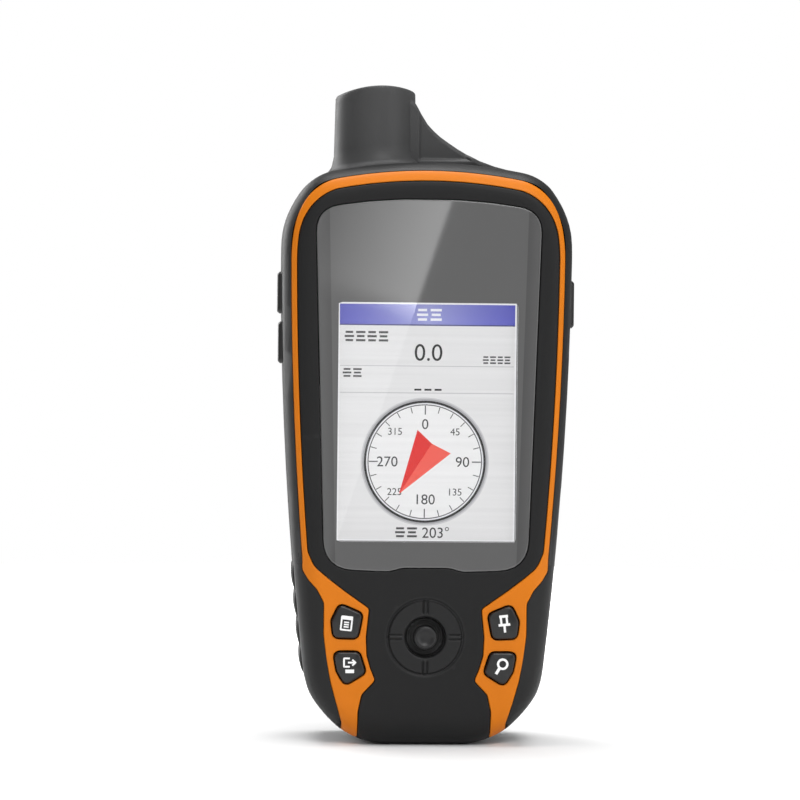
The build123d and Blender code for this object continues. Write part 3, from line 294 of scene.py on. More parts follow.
@dataclass
class Panel:
    """A wall seen from the front: a region in X and Z, a surface over it, rounded rims and a thickness.

    The region is filled with a triangle net whose points lie in rows along every rim. The front surface is
    the depth function plus a quarter circle at each rim, and the back is the same net moved back.
    """

    loops: list
    rims: list
    surface: Depth
    thickness: float
    spacing: float = 1.2
    guides: Array | None = None

    def net(self) -> tuple[Array, Array]:
        """Plan points and the triangles inside the region."""
        rows, edges, start = [], [], 0
        for loop, rim in zip(self.loops, self.rims):
            order = np.arange(len(loop))
            edges += np.column_stack([start + order, start + np.roll(order, -1)]).tolist()
            rows.append(loop)
            start += len(loop)
        extra = []
        for loop, rim in zip(self.loops, self.rims):
            inner = [moved_in(loop, d) for d in quarter_round(rim)[1:, 0]] if rim > 0 else []
            inner.append(moved_in(loop, rim + 0.09))
            inner.append(moved_in(loop, rim + 0.09 + 0.42 * self.spacing))
            extra += inner
        extra = np.vstack(extra)
        low, high = self.loops[0].min(0), self.loops[0].max(0)
        across = np.arange(low[0], high[0], self.spacing)
        up = np.arange(low[1], high[1], self.spacing * 0.87)
        gx, gz = np.meshgrid(across, up)
        gx = gx + (np.arange(len(up)) % 2)[:, None] * self.spacing / 2
        field_points = np.column_stack([gx.ravel(), gz.ravel()])
        field_points = field_points[self.clear(field_points, 0.9 * self.spacing)]
        extra = extra[inside(extra, self.loops)]
        extra = extra[self.clear(extra, 0.0, 0.9)]
        if self.guides is not None:
            chosen = self.guides[inside(self.guides, self.loops)]
            chosen = chosen[self.clear(chosen, 0.5 * self.spacing)]
            extra = np.vstack([extra, chosen])
            gaps = np.abs(field_points[:, None, :] - chosen[None, :, :]).max(-1).min(1)
            field_points = field_points[gaps > 0.55 * self.spacing]
        plan = np.vstack([*rows, extra, field_points])
        found = delaunay_2d_cdt([Vector(p) for p in plan.tolist()], edges, [], 0, 1e-6)
        points = np.array([(v.x, v.y) for v in found[0]])
        triangles = np.array(found[2], int)
        middle = points[triangles].mean(1)
        triangles = triangles[inside(middle, self.loops)]
        used = np.unique(triangles)
        index = np.full(len(points), -1)
        index[used] = np.arange(len(used))
        return points[used], index[triangles]

    def clear(self, points: Array, gap: float, share: float = 1.0) -> Array:
        """Which points stay a gap inside every rim's rounding."""
        keep = np.ones(len(points), bool)
        for loop, rim in zip(self.loops, self.rims):
            limit = rim + gap if gap else min(0.05, 0.1 * max(rim, 0.3)) * share
            keep &= distance_to(points, loop) > limit
        return keep

    def shape(self) -> Shape:
        """The closed solid."""
        plan, triangles = self.net()
        a, b, c = (plan[triangles[:, k]] for k in range(3))
        turn = (b[:, 0] - a[:, 0]) * (c[:, 1] - a[:, 1]) - (b[:, 1] - a[:, 1]) * (c[:, 0] - a[:, 0])
        triangles[turn < 0] = triangles[turn < 0][:, ::-1]
        front = self.surface(plan[:, 0], plan[:, 1])
        back = front + self.thickness
        for loop, rim in zip(self.loops, self.rims):
            if rim > 0:
                near = np.clip(rim - distance_to(plan, loop), 0, rim)
                front = front + rim - np.sqrt(rim**2 - near**2)
        count = len(plan)
        points = np.vstack([
            np.column_stack([plan[:, 0], front, plan[:, 1]]),
            np.column_stack([plan[:, 0], np.maximum(back, front + 0.05), plan[:, 1]]),
        ])
        directed = np.vstack([triangles[:, [0, 1]], triangles[:, [1, 2]], triangles[:, [2, 0]]])
        key = directed[:, 0] * count + directed[:, 1]
        twin = directed[:, 1] * count + directed[:, 0]
        rim_edges = directed[~np.isin(key, twin)]
        p, q = rim_edges[:, 0], rim_edges[:, 1]
        walls = np.column_stack([p, p + count, q + count, q])
        faces = triangles.tolist() + (triangles[:, ::-1] + count).tolist() + walls.tolist()
        return Shape(points, faces)


def lathe(profile: Array, axis_point: Sequence[float], axis: str, segments: int = 72) -> Shape:
    """A profile of radius and height turned round an axis along Y or Z; its ends lie on the axis.

    Args:
        profile: rows of radius and height, ordered so that the outside is on the right.
        axis_point: the axis's two other coordinates.
        axis: "Y" or "Z".
        segments: how many steps round.

    Returns:
        The closed shape.
    """
    turn = np.linspace(0, 2 * np.pi, segments, endpoint=False)
    radius, height = profile[1:-1, 0][:, None], profile[1:-1, 1][:, None]
    a, b = radius * np.cos(turn), radius * np.sin(turn)
    h = np.broadcast_to(height, a.shape)
    ends = profile[[0, -1], 1]
    if axis == "Z":
        rings = np.stack([axis_point[0] + a, axis_point[1] + b, h], -1)
        poles = [(axis_point[0], axis_point[1], e) for e in ends]
    else:
        rings = np.stack([axis_point[0] + a, h, axis_point[1] - b], -1)
        poles = [(axis_point[0], e, axis_point[1]) for e in ends]
    shape = closed_tube(rings)
    shape.points[-2:] = poles
    return shape


def ribbon(path: Array, width: float, surface: Depth, rise: float, sink: float, closed: bool = False) -> Shape:
    """A flat printed line on a surface, with a rectangular section carried along a plan path.

    Args:
        path: plan points of its middle.
        width: the line's width.
        surface: depth of what it lies on.
        rise: how far it stands in front.
        sink: how far it goes behind.
        closed: whether the path is a loop.

    Returns:
        The closed shape.
    """
    if closed:
        normal = left_normals(path)
    else:
        along = np.gradient(path, axis=0)
        along /= np.linalg.norm(along, axis=1)[:, None]
        normal = np.column_stack([-along[:, 1], along[:, 0]])
    left, right = path + normal * width / 2, path - normal * width / 2
    rows = []
    for plan, shift in ((left, -rise), (right, -rise), (right, sink), (left, sink)):
        rows.append(np.column_stack([plan[:, 0], surface(plan[:, 0], plan[:, 1]) + shift, plan[:, 1]]))
    rings = np.stack(rows, 1)
    if not closed:
        return closed_tube(rings, flip=True)
    faces = grid_faces(len(path), 4, close_rows=True, close_columns=True)
    return Shape(rings.reshape(-1, 3), [face[::-1] for face in faces])


def pillow(loop: Array, heights: Array, place: Callable[[Array, Array, Array], Array]) -> Shape:
    """A cap over an outline: rings that draw in towards the middle while they rise.

    Args:
        loop: anticlockwise outline.
        heights: rows of inset and height; a negative inset is a share of the way to the middle.
        place: turns plan coordinates and heights into points.

    Returns:
        The closed shape.
    """
    centre = loop.mean(0)
    deepest = max((row[0] for row in heights if row[0] >= 0), default=0.0)
    rim = moved_in(loop, deepest)
    rings = []
    for inset, height in heights:
        flat = moved_in(loop, inset) if inset >= 0 else rim + (centre - rim) * -inset
        rings.append(place(flat[:, 0], flat[:, 1], np.full(len(flat), height)))
    return closed_tube(np.stack(rings))


def swept_ring(path: Array, radius: float, around: int = 14) -> Shape:
    """A round wire along a closed loop in one plane: a circle carried round it."""
    along = np.roll(path, -1, 0) - np.roll(path, 1, 0)
    along /= np.linalg.norm(along, axis=1)[:, None]
    up = np.array([0.0, 1.0, 0.0])
    side = np.cross(along, up)
    turn = np.linspace(0, 2 * np.pi, around, endpoint=False)
    rings = (
        path[:, None, :]
        + radius * np.cos(turn)[None, :, None] * side[:, None, :]
        + radius * np.sin(turn)[None, :, None] * up[None, None, :]
    )
    faces = grid_faces(len(path), around, close_rows=True, close_columns=True)
    return Shape(rings.reshape(-1, 3), faces)


def make_object(name: str, shape: Shape, flat: bool = False) -> bpy.types.Object:
    """A mesh object from a shape, smooth except at its sharp edges."""
    mesh = bpy.data.meshes.new(name)
    mesh.from_pydata((np.asarray(shape.points, float) * MM).tolist(), [], shape.faces)
    if shape.colours:
        layer = mesh.attributes.new("Tint", "FLOAT_COLOR", "FACE")
        layer.data.foreach_set("color", np.array(shape.colours, np.float32).ravel())
    mesh.validate()
    mesh.update()
    finish_mesh(mesh, flat)
    obj = bpy.data.objects.new(name, mesh)
    bpy.context.scene.collection.objects.link(obj)
    return obj


def finish_mesh(mesh: bpy.types.Mesh, flat: bool = False) -> None:
    """Turn every face outwards and set which edges look sharp."""
    net = bmesh.new()
    net.from_mesh(mesh)
    bmesh.ops.remove_doubles(net, verts=net.verts, dist=1e-7)
    if not flat:
        bmesh.ops.recalc_face_normals(net, faces=net.faces)
    net.to_mesh(mesh)
    net.free()
    mesh.shade_smooth()
    mesh.set_sharp_from_angle(angle=SMOOTH_ANGLE)


def cut(obj: bpy.types.Object, cutter: bpy.types.Object, operation: str = "DIFFERENCE") -> None:
    """Apply an exact boolean to an object's mesh and remove the cutter."""
    modifier = obj.modifiers.new("Cut", "BOOLEAN")
    modifier.operation = operation
    modifier.solver = "EXACT"
    modifier.object = cutter
    bpy.context.view_layer.update()
    graph = bpy.context.evaluated_depsgraph_get()
    result = bpy.data.meshes.new_from_object(obj.evaluated_get(graph), depsgraph=graph)
    obj.modifiers.clear()
    old = obj.data
    obj.data = result
    result.name = obj.name
    bpy.data.meshes.remove(old)
    bpy.data.objects.remove(cutter)
    obj.data.shade_smooth()
    obj.data.set_sharp_from_angle(angle=SMOOTH_ANGLE)


def settle(
    obj: bpy.types.Object,
    body: str,
    material: bpy.types.Material,
    replaces: Sequence[str] = (),
) -> bpy.types.Object:
    """Dress a finished piece, let it ride on its body and stand for its nodes."""
    obj.data.materials.clear()
    obj.data.materials.append(material)
    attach(obj, body)
    if replaces:
        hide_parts(*replaces)
    LOG.info("%s: %d faces on %s", obj.name, len(obj.data.polygons), body)
    return obj


def merged_copy(node: str, name: str) -> bpy.types.Object:
    """A copy of a CAD node whose loose triangles are joined, so that it shades smoothly."""
    mesh = frame["nodes"][node].data.copy()
    mesh.name = name
    net = bmesh.new()
    net.from_mesh(mesh)
    bmesh.ops.remove_doubles(net, verts=net.verts, dist=2e-6)
    net.to_mesh(mesh)
    net.free()
    mesh.shade_smooth()
    mesh.set_sharp_from_angle(angle=SMOOTH_ANGLE)
    obj = bpy.data.objects.new(name, mesh)
    bpy.context.scene.collection.objects.link(obj)
    return obj


# --- Body envelope -----------------------------------------------------------
@dataclass
class BodyOutline:
    """Front view of the body, and the depth of its rounded front over any plan point."""

    foot: tuple = (9.0, 0.0)
    chin: tuple = (21.6, 4.8)
    jaw: tuple = (29.3, 19.4)
    waist: tuple = (33.3, 65.0)
    shoulder: tuple = (35.15, 117.0)
    corner: tuple = (30.15, 134.5)
    brow: tuple = (22.4, 138.9)
    top: float = 141.0
    front: float = -17.5
    neck: float = 13.0
    edge_round: float = 7.0
    step: float = 0.55

    def __post_init__(self) -> None:
        """Work out the closed outline once."""
        self.loop = self.closed_outline()

    def closed_outline(self) -> Array:
        """Flat foot, chin curve, flank arc, shoulder curve and top arc, then the same on the left."""
        flank = arc_through(self.jaw, self.waist, self.shoulder, 120)
        arch = arc_through(self.brow, (0, self.top), (-self.brow[0], self.brow[1]), 120)
        directions = [np.diff(curve, axis=0) for curve in (flank, arch)]
        units = [d / np.linalg.norm(d, axis=1)[:, None] for d in directions]
        chin = clamped_spline(np.array([self.foot, self.chin, self.jaw]), np.array([1.0, 0.0]), units[0][0], 40)
        knots = np.array([self.shoulder, self.corner, self.brow])
        shoulder = clamped_spline(knots, units[0][-1], units[1][0], 40)
        sole = np.column_stack([np.linspace(0, self.foot[0], 20)[:-1], np.zeros(19)])
        half_arch = arch[arch[:, 0] >= 0]
        right = np.vstack([sole, chin[:-1], flank[:-1], shoulder[:-1], half_arch])
        left = right[1:-1][::-1] * [-1, 1]
        return resample(np.vstack([right, left]), self.step)

    def half_width(self, z: Array) -> Array:
        """Half width at a height, up to the shoulder."""
        right = self.loop[(self.loop[:, 0] > 0) & (self.loop[:, 1] < self.shoulder[1] + 5)]
        right = right[np.argsort(right[:, 1])]
        return np.interp(z, right[:, 1], right[:, 0])

    def top_height(self, x: Array) -> Array:
        """Height of the top edge over X: the top arc and the shoulders."""
        upper = self.loop[self.loop[:, 1] > self.shoulder[1]]
        upper = upper[np.argsort(upper[:, 0])]
        return np.interp(x, upper[:, 0], upper[:, 1])

    def roof(self, x: Array, y: Array) -> Array:
        """Height of the rounded top at X and Y: the top edge less a quarter circle towards front and back."""
        r = self.edge_round
        near = np.clip(np.maximum(self.front + r - y, y - (self.neck - r)), 0, r)
        return self.top_height(x) - (r - np.sqrt(r**2 - near**2))

    def depth(self, x: Array, z: Array) -> Array:
        """Y of the front surface: flat inside, and a quarter circle near the outline."""
        plan = np.column_stack([x, z])
        gap = distance_to(plan, self.loop)
        gap = np.where(inside(plan, [self.loop]), gap, 0)
        near = np.clip(self.edge_round - gap, 0, self.edge_round)
        return self.front + self.edge_round - np.sqrt(self.edge_round**2 - near**2)

    def rim_guides(self) -> Array:
        """Rows of plan points that follow the outline, closer together where the surface turns faster."""
        turn = np.linspace(0, np.pi / 2, 10)[1:]
        return np.vstack([moved_in(self.loop, self.edge_round * (1 - math.cos(t))) for t in turn])


@dataclass
class BandLines:
    """The two edges of the coloured band, each from the bottom right over the top to the bottom left."""

    body: BodyOutline
    outer_inset: float = 2.1
    inner_inset: float = 3.45
    top_extra: float = 1.1
    outer_patch: tuple = (
        (19.9, 3.6), (19.9, 5.6), (21.6, 11.4), (22.8, 15.8), (23.9, 21.6), (24.5, 27.0), (24.5, 34.7), (26.2, 37.9),
        (28.2, 40.0), (29.7, 42.4),
    )
    inner_patch: tuple = (
        (16.1, 1.9), (16.1, 8.5), (15.2, 12.6), (12.0, 16.0), (13.2, 18.9), (14.1, 22.0), (14.3, 26.5), (13.6, 33.3),
        (19.7, 37.6), (23.5, 40.5), (27.0, 43.4),
    )

    def edge(self, inset: float, patch: tuple, top_extra: float, radii: tuple) -> Array:
        """One edge: patch corners at the bottom, and the outline moved in above them.

        Args:
            inset: distance from the outline.
            patch: half outline of the wide part, going up.
            top_extra: how much further in the edge lies at the top.
            radii: corner radii, last one repeated.

        Returns:
            The open path.
        """
        loop = self.body.loop
        share = smooth_step(124, 139, loop[:, 1])
        line = loop + left_normals(loop) * (inset + top_extra * share)[:, None]
        start = patch[-1][1] + 3.2
        right = line[(line[:, 0] > 0) & (line[:, 1] > start)]
        keep = np.array([list(radii) + [radii[-1]] * len(patch)][0][: len(patch)])
        ends = [tuple(patch[0]), *patch[1:], tuple(right[0])]
        path = round_corners([*ends, tuple(right[14])], [0.01, *keep[1:], 3.5, 0.01])
        rounded = path[7 : 7 * len(ends)]
        low = np.vstack([[patch[0]], rounded, right[right[:, 1] > rounded[-1, 1] + 0.25]])
        low = resample(low, 0.45, closed=False)
        left = low[:-1][::-1] * [-1, 1]
        return np.vstack([low, left])

    def outer(self) -> Array:
        """The edge towards the flank."""
        return self.edge(self.outer_inset, self.outer_patch, 0.0, (0.01, 2.0, 4.0, 4.0, 4.0, 4.0, 1.8, 2.5))

    def inner(self) -> Array:
        """The edge towards the screen."""
        return self.edge(self.inner_inset, self.inner_patch, self.top_extra, (0.01, 2.0, 1.6, 0.8, 3.0, 3.0, 3.0, 0.9, 6.0))

    def bottom(self, x_from: float, x_to: float) -> Array:
        """The body's outline along the bottom, between two X values."""
        loop = self.body.loop
        low = loop[(loop[:, 1] < 8) & (loop[:, 0] > x_from + 0.2) & (loop[:, 0] < x_to - 0.2)]
        return low[np.argsort(low[:, 0])]


# --- Finishes ----------------------------------------------------------------
def linear(red: float, green: float, blue: float) -> tuple[float, float, float, float]:
    """A display colour from 0 to 255 as linear light."""
    values = np.array([red, green, blue]) / 255
    light = np.where(values <= 0.04045, values / 12.92, ((values + 0.055) / 1.055) ** 2.4)
    return (*map(float, light), 1.0)


@dataclass
class NodeNet:
    """Adds shader nodes to a tree and links them."""

    tree: bpy.types.NodeTree

    def add(self, kind: str, settings: dict | None = None, **inputs: object) -> bpy.types.Node:
        """A new node.

        Args:
            kind: node type without its prefix.
            settings: properties to set.
            **inputs: values or sockets for inputs, by name with underscores for spaces.

        Returns:
            The node.
        """
        node = self.tree.nodes.new("ShaderNode" + kind)
        for key, value in (settings or {}).items():
            setattr(node, key, value)
        for key, value in inputs.items():
            socket = node.inputs[int(key[1:])] if key[1:].isdigit() else node.inputs[key.replace("_", " ")]
            if isinstance(value, bpy.types.NodeSocket):
                self.tree.links.new(value, socket)
            else:
                socket.default_value = value
        return node

    def math(self, operation: str, a: object, b: object = 0.0) -> bpy.types.NodeSocket:
        """A math node's result."""
        return self.add("Math", {"operation": operation}, i0=a, i1=b).outputs[0]

    def mix(self, share: object, a: object, b: object) -> bpy.types.NodeSocket:
        """A colour between two others."""
        node = self.add("Mix", {"data_type": "RGBA"})
        for index, value in ((0, share), (6, a), (7, b)):
            if isinstance(value, bpy.types.NodeSocket):
                self.tree.links.new(value, node.inputs[index])
            else:
                node.inputs[index].default_value = value
        return node.outputs[2]

    def span(self, value: object, low: float, high: float, to_low: float, to_high: float) -> bpy.types.NodeSocket:
        """A value mapped from one range to another, smoothly and clamped."""
        node = self.add("MapRange", {"interpolation_type": "SMOOTHSTEP"}, Value=value)
        for name, number in (("From Min", low), ("From Max", high), ("To Min", to_low), ("To Max", to_high)):
            node.inputs[name].default_value = number
        return node.outputs[0]


def skin_group() -> bpy.types.NodeTree:
    """Grain, tone variation, fine scratches and edge wear for any solid finish, made once."""
    name = "SurfaceSkin"
    if name in bpy.data.node_groups:
        return bpy.data.node_groups[name]
    tree = bpy.data.node_groups.new(name, "ShaderNodeTree")
    for label, kind, value in (
        ("Colour", "NodeSocketColor", (0.5, 0.5, 0.5, 1)),
        ("Worn Colour", "NodeSocketColor", (0.6, 0.6, 0.6, 1)),
        ("Roughness", "NodeSocketFloat", 0.5),
        ("Roughness Spread", "NodeSocketFloat", 0.1),
        ("Grain Scale", "NodeSocketFloat", 2500.0),
        ("Grain Height", "NodeSocketFloat", 0.00001),
        ("Tone Spread", "NodeSocketFloat", 0.1),
        ("Wear", "NodeSocketFloat", 0.2),
        ("Scratches", "NodeSocketFloat", 0.1),
    ):
        socket = tree.interface.new_socket(name=label, in_out="INPUT", socket_type=kind)
        socket.default_value = value
    for label, kind in (("Colour", "NodeSocketColor"), ("Roughness", "NodeSocketFloat"), ("Normal", "NodeSocketVector")):
        tree.interface.new_socket(name=label, in_out="OUTPUT", socket_type=kind)
    net = NodeNet(tree)
    given = tree.nodes.new("NodeGroupInput").outputs
    place = net.add("TexCoord").outputs["Object"]
    grain = net.add("TexVoronoi", Vector=place, Scale=given["Grain Scale"]).outputs["Distance"]
    fine = net.add("TexNoise", Vector=place, Scale=given["Grain Scale"], Detail=3.0).outputs["Fac"]
    cloud = net.add("TexNoise", Vector=place, Scale=55.0, Detail=4.0, Roughness=0.6).outputs["Fac"]
    smear = net.add("TexNoise", Vector=place, Scale=160.0, Detail=6.0, Roughness=0.65, Distortion=0.6).outputs["Fac"]
    turned = net.add("Mapping", Vector=place)
    turned.inputs["Rotation"].default_value = (0.2, 0.5, 0.9)
    turned.inputs["Scale"].default_value = (1, 1, 0.05)
    lines = net.add("TexNoise", Vector=turned.outputs[0], Scale=1400.0, Detail=2.0).outputs["Fac"]
    scratch = net.math("MULTIPLY", net.span(lines, 0.69, 0.75, 0.0, 1.0), given["Scratches"])
    edge = net.span(net.add("NewGeometry").outputs["Pointiness"], 0.53, 0.62, 0.0, 1.0)
    ragged = net.math("MULTIPLY", edge, net.span(smear, 0.42, 0.62, 0.25, 1.0))
    wear = net.math("MULTIPLY", ragged, given["Wear"])
    tone = net.math("MULTIPLY", net.math("SUBTRACT", cloud, 0.5), given["Tone Spread"])
    speck = net.math("MULTIPLY", net.math("SUBTRACT", fine, 0.5), given["Tone Spread"])
    gain = net.math("ADD", net.math("ADD", tone, speck), 1.0)
    toned = net.add("HueSaturation", Value=gain, Color=given["Colour"]).outputs[0]
    coloured = net.mix(wear, toned, given["Worn Colour"])
    rough = net.math("ADD", given["Roughness"], net.math("MULTIPLY", net.math("SUBTRACT", smear, 0.5), given["Roughness Spread"]))
    rough = net.math("ADD", rough, net.math("MULTIPLY", scratch, 0.3))
    rough = net.math("SUBTRACT", rough, net.math("MULTIPLY", wear, 0.15))
    relief = net.math("ADD", net.math("MULTIPLY", grain, 0.6), net.math("MULTIPLY", fine, 0.5))
    relief = net.math("SUBTRACT", relief, scratch)
    bump = net.add("Bump", Height=relief, Distance=given["Grain Height"], Strength=1.0)
    out = tree.nodes.new("NodeGroupOutput")
    for label, socket in (("Colour", coloured), ("Roughness", rough), ("Normal", bump.outputs[0])):
        tree.links.new(socket, out.inputs[label])
    return tree


@dataclass(frozen=True)
class Finish:
    """A solid finish: its colour, sheen and the scale and depth of its texture."""

    name: str
    colour: tuple
    roughness: float
    spread: float = 0.12
    grain_mm: float = 0.35
    grain_depth: float = 0.012
    tone: float = 0.12
    wear: float = 0.25
    worn: tuple = (0.12, 0.12, 0.125, 1.0)
    scratches: float = 0.15
    metallic: float = 0.0
    specular: float = 0.5
    coat: float = 0.0
    anisotropy: float = 0.0

    def start(self) -> tuple[bpy.types.Material, NodeNet, bpy.types.Node, bpy.types.Node]:
        """A new material with its shader and the surface group."""
        material = bpy.data.materials.new(self.name)
        material.use_nodes = True
        net = NodeNet(material.node_tree)
        shader = material.node_tree.nodes["Principled BSDF"]
        shader.inputs["Metallic"].default_value = self.metallic
        shader.inputs["Specular IOR Level"].default_value = self.specular
        shader.inputs["Coat Weight"].default_value = self.coat
        shader.inputs["Coat Roughness"].default_value = 0.08
        shader.inputs["Anisotropic"].default_value = self.anisotropy
        skin = material.node_tree.nodes.new("ShaderNodeGroup")
        skin.node_tree = skin_group()
        for label, value in (
            ("Colour", self.colour), ("Worn Colour", self.worn), ("Roughness", self.roughness),
            ("Roughness Spread", self.spread), ("Grain Scale", 1000.0 / self.grain_mm),
            ("Grain Height", self.grain_depth * MM), ("Tone Spread", self.tone), ("Wear", self.wear),
            ("Scratches", self.scratches),
        ):
            skin.inputs[label].default_value = value
        return material, net, shader, skin

    def material(self) -> bpy.types.Material:
        """The finish as a material, made once."""
        if self.name in bpy.data.materials:
            return bpy.data.materials[self.name]
        material, net, shader, skin = self.start()
        links = material.node_tree.links
        links.new(skin.outputs["Colour"], shader.inputs["Base Color"])
        links.new(skin.outputs["Roughness"], shader.inputs["Roughness"])
        links.new(skin.outputs["Normal"], shader.inputs["Normal"])
        return material


@dataclass(frozen=True)
class PaintedSheenFinish(Finish):
    """A finish whose lighter colour, a painted sheen, goes over into another along X."""

    far: tuple = (0.01, 0.01, 0.01, 1)
    near_x: float = 5.0
    far_x: float = 17.0

    def material(self) -> bpy.types.Material:
        """The finish with its painted-sheen colour mixed with the far, plain one between the two places."""
        ready = self.name in bpy.data.materials
        material = super().material()
        if not ready:
            net = NodeNet(material.node_tree)
            parts = net.add("SeparateXYZ", Vector=net.add("TexCoord").outputs["Object"]).outputs
            fade = net.span(parts["X"], self.near_x * MM, self.far_x * MM, 0.0, 1.0)
            skin = next(n for n in material.node_tree.nodes if n.bl_idname == "ShaderNodeGroup")
            material.node_tree.links.new(net.mix(fade, self.colour, self.far), skin.inputs["Colour"])
        return material


@dataclass(frozen=True)
class LensGrey(Finish):
    """The window's printed grey border under gloss, with a strip of painted shade inside each long tapered edge, as of
    a sloping rim.
    """

    strip: float = 2.6

    def material(self) -> bpy.types.Material:
        """Grey that steps down into painted shade where the distance to the tapered side is less than the strip's
        width.
        """
        if self.name in bpy.data.materials:
            return bpy.data.materials[self.name]
        material, net, shader, skin = self.start()
        links = material.node_tree.links
        place = net.add("SeparateXYZ", Vector=net.add("TexCoord").outputs["Object"])
        slope = net.math("MULTIPLY", net.math("SUBTRACT", place.outputs["Z"], 0.0423), 0.0252)
        edge = net.math("ADD", slope, 0.0244 - self.strip * MM)
        out = net.math("SUBTRACT", net.math("ABSOLUTE", place.outputs["X"]), edge)
        # Painted shade: the strip is darkest at its inner line and lighter towards the tapered side.
        step = net.span(out, -0.00006, 0.00006, 0.0, 1.0)
        fade = net.span(out, 0.0, self.strip * MM, 0.72, 0.86)
        shade = net.mix(step, (1, 1, 1, 1), net.add("CombineColor", Red=fade, Green=fade, Blue=fade).outputs[0])
        toned = net.add("Mix", {"data_type": "RGBA", "blend_type": "MULTIPLY"})
        toned.inputs[0].default_value = 1.0
        links.new(skin.outputs["Colour"], toned.inputs[6])
        links.new(shade, toned.inputs[7])
        links.new(toned.outputs[2], shader.inputs["Base Color"])
        links.new(skin.outputs["Roughness"], shader.inputs["Roughness"])
        return material


@dataclass(frozen=True)
class ClearGlass:
    """The window's clear part."""

    name: str = "ClearWindow"

    def material(self) -> bpy.types.Material:
        """Polished glass with faint smudges in its roughness."""
        material = bpy.data.materials.new(self.name)
        material.use_nodes = True
        net = NodeNet(material.node_tree)
        shader = material.node_tree.nodes["Principled BSDF"]
        shader.inputs["Base Color"].default_value = (1, 1, 1, 1)
        shader.inputs["Transmission Weight"].default_value = 1.0
        shader.inputs["IOR"].default_value = 1.5
        place = net.add("TexCoord").outputs["Object"]
        smudge = net.add("TexNoise", Vector=place, Scale=70.0, Detail=5.0).outputs["Fac"]
        rough = net.span(smudge, 0.45, 0.8, 0.0, 0.02)
        material.node_tree.links.new(rough, shader.inputs["Roughness"])
        return material


@dataclass(frozen=True)
class ScreenGlow:
    """The lit picture: each face's own tint, with faint level streaks, given off as light."""

    name: str = "ScreenPicture"
    strength: float = 0.76

    def material(self) -> bpy.types.Material:
        """Tint times streaks, as base colour and as emission."""
        material = bpy.data.materials.new(self.name)
        material.use_nodes = True
        net = NodeNet(material.node_tree)
        shader = material.node_tree.nodes["Principled BSDF"]
        tint = net.add("Attribute", {"attribute_name": "Tint"}).outputs["Color"]
        place = net.add("TexCoord").outputs["Object"]
        stretched = net.add("Mapping", Vector=place)
        stretched.inputs["Scale"].default_value = (9, 1, 900)
        streak = net.add("TexNoise", Vector=stretched.outputs[0], Scale=1.0, Detail=3.0).outputs["Fac"]
        gain = net.span(streak, 0.3, 0.7, 0.93, 1.0)
        lit = net.add("HueSaturation", Value=gain, Color=tint).outputs[0]
        links = material.node_tree.links
        links.new(net.add("HueSaturation", Value=0.25, Color=tint).outputs[0], shader.inputs["Base Color"])
        links.new(lit, shader.inputs["Emission Color"])
        shader.inputs["Emission Strength"].default_value = self.strength
        shader.inputs["Roughness"].default_value = 0.5
        shader.inputs["Specular IOR Level"].default_value = 0.1
        return material


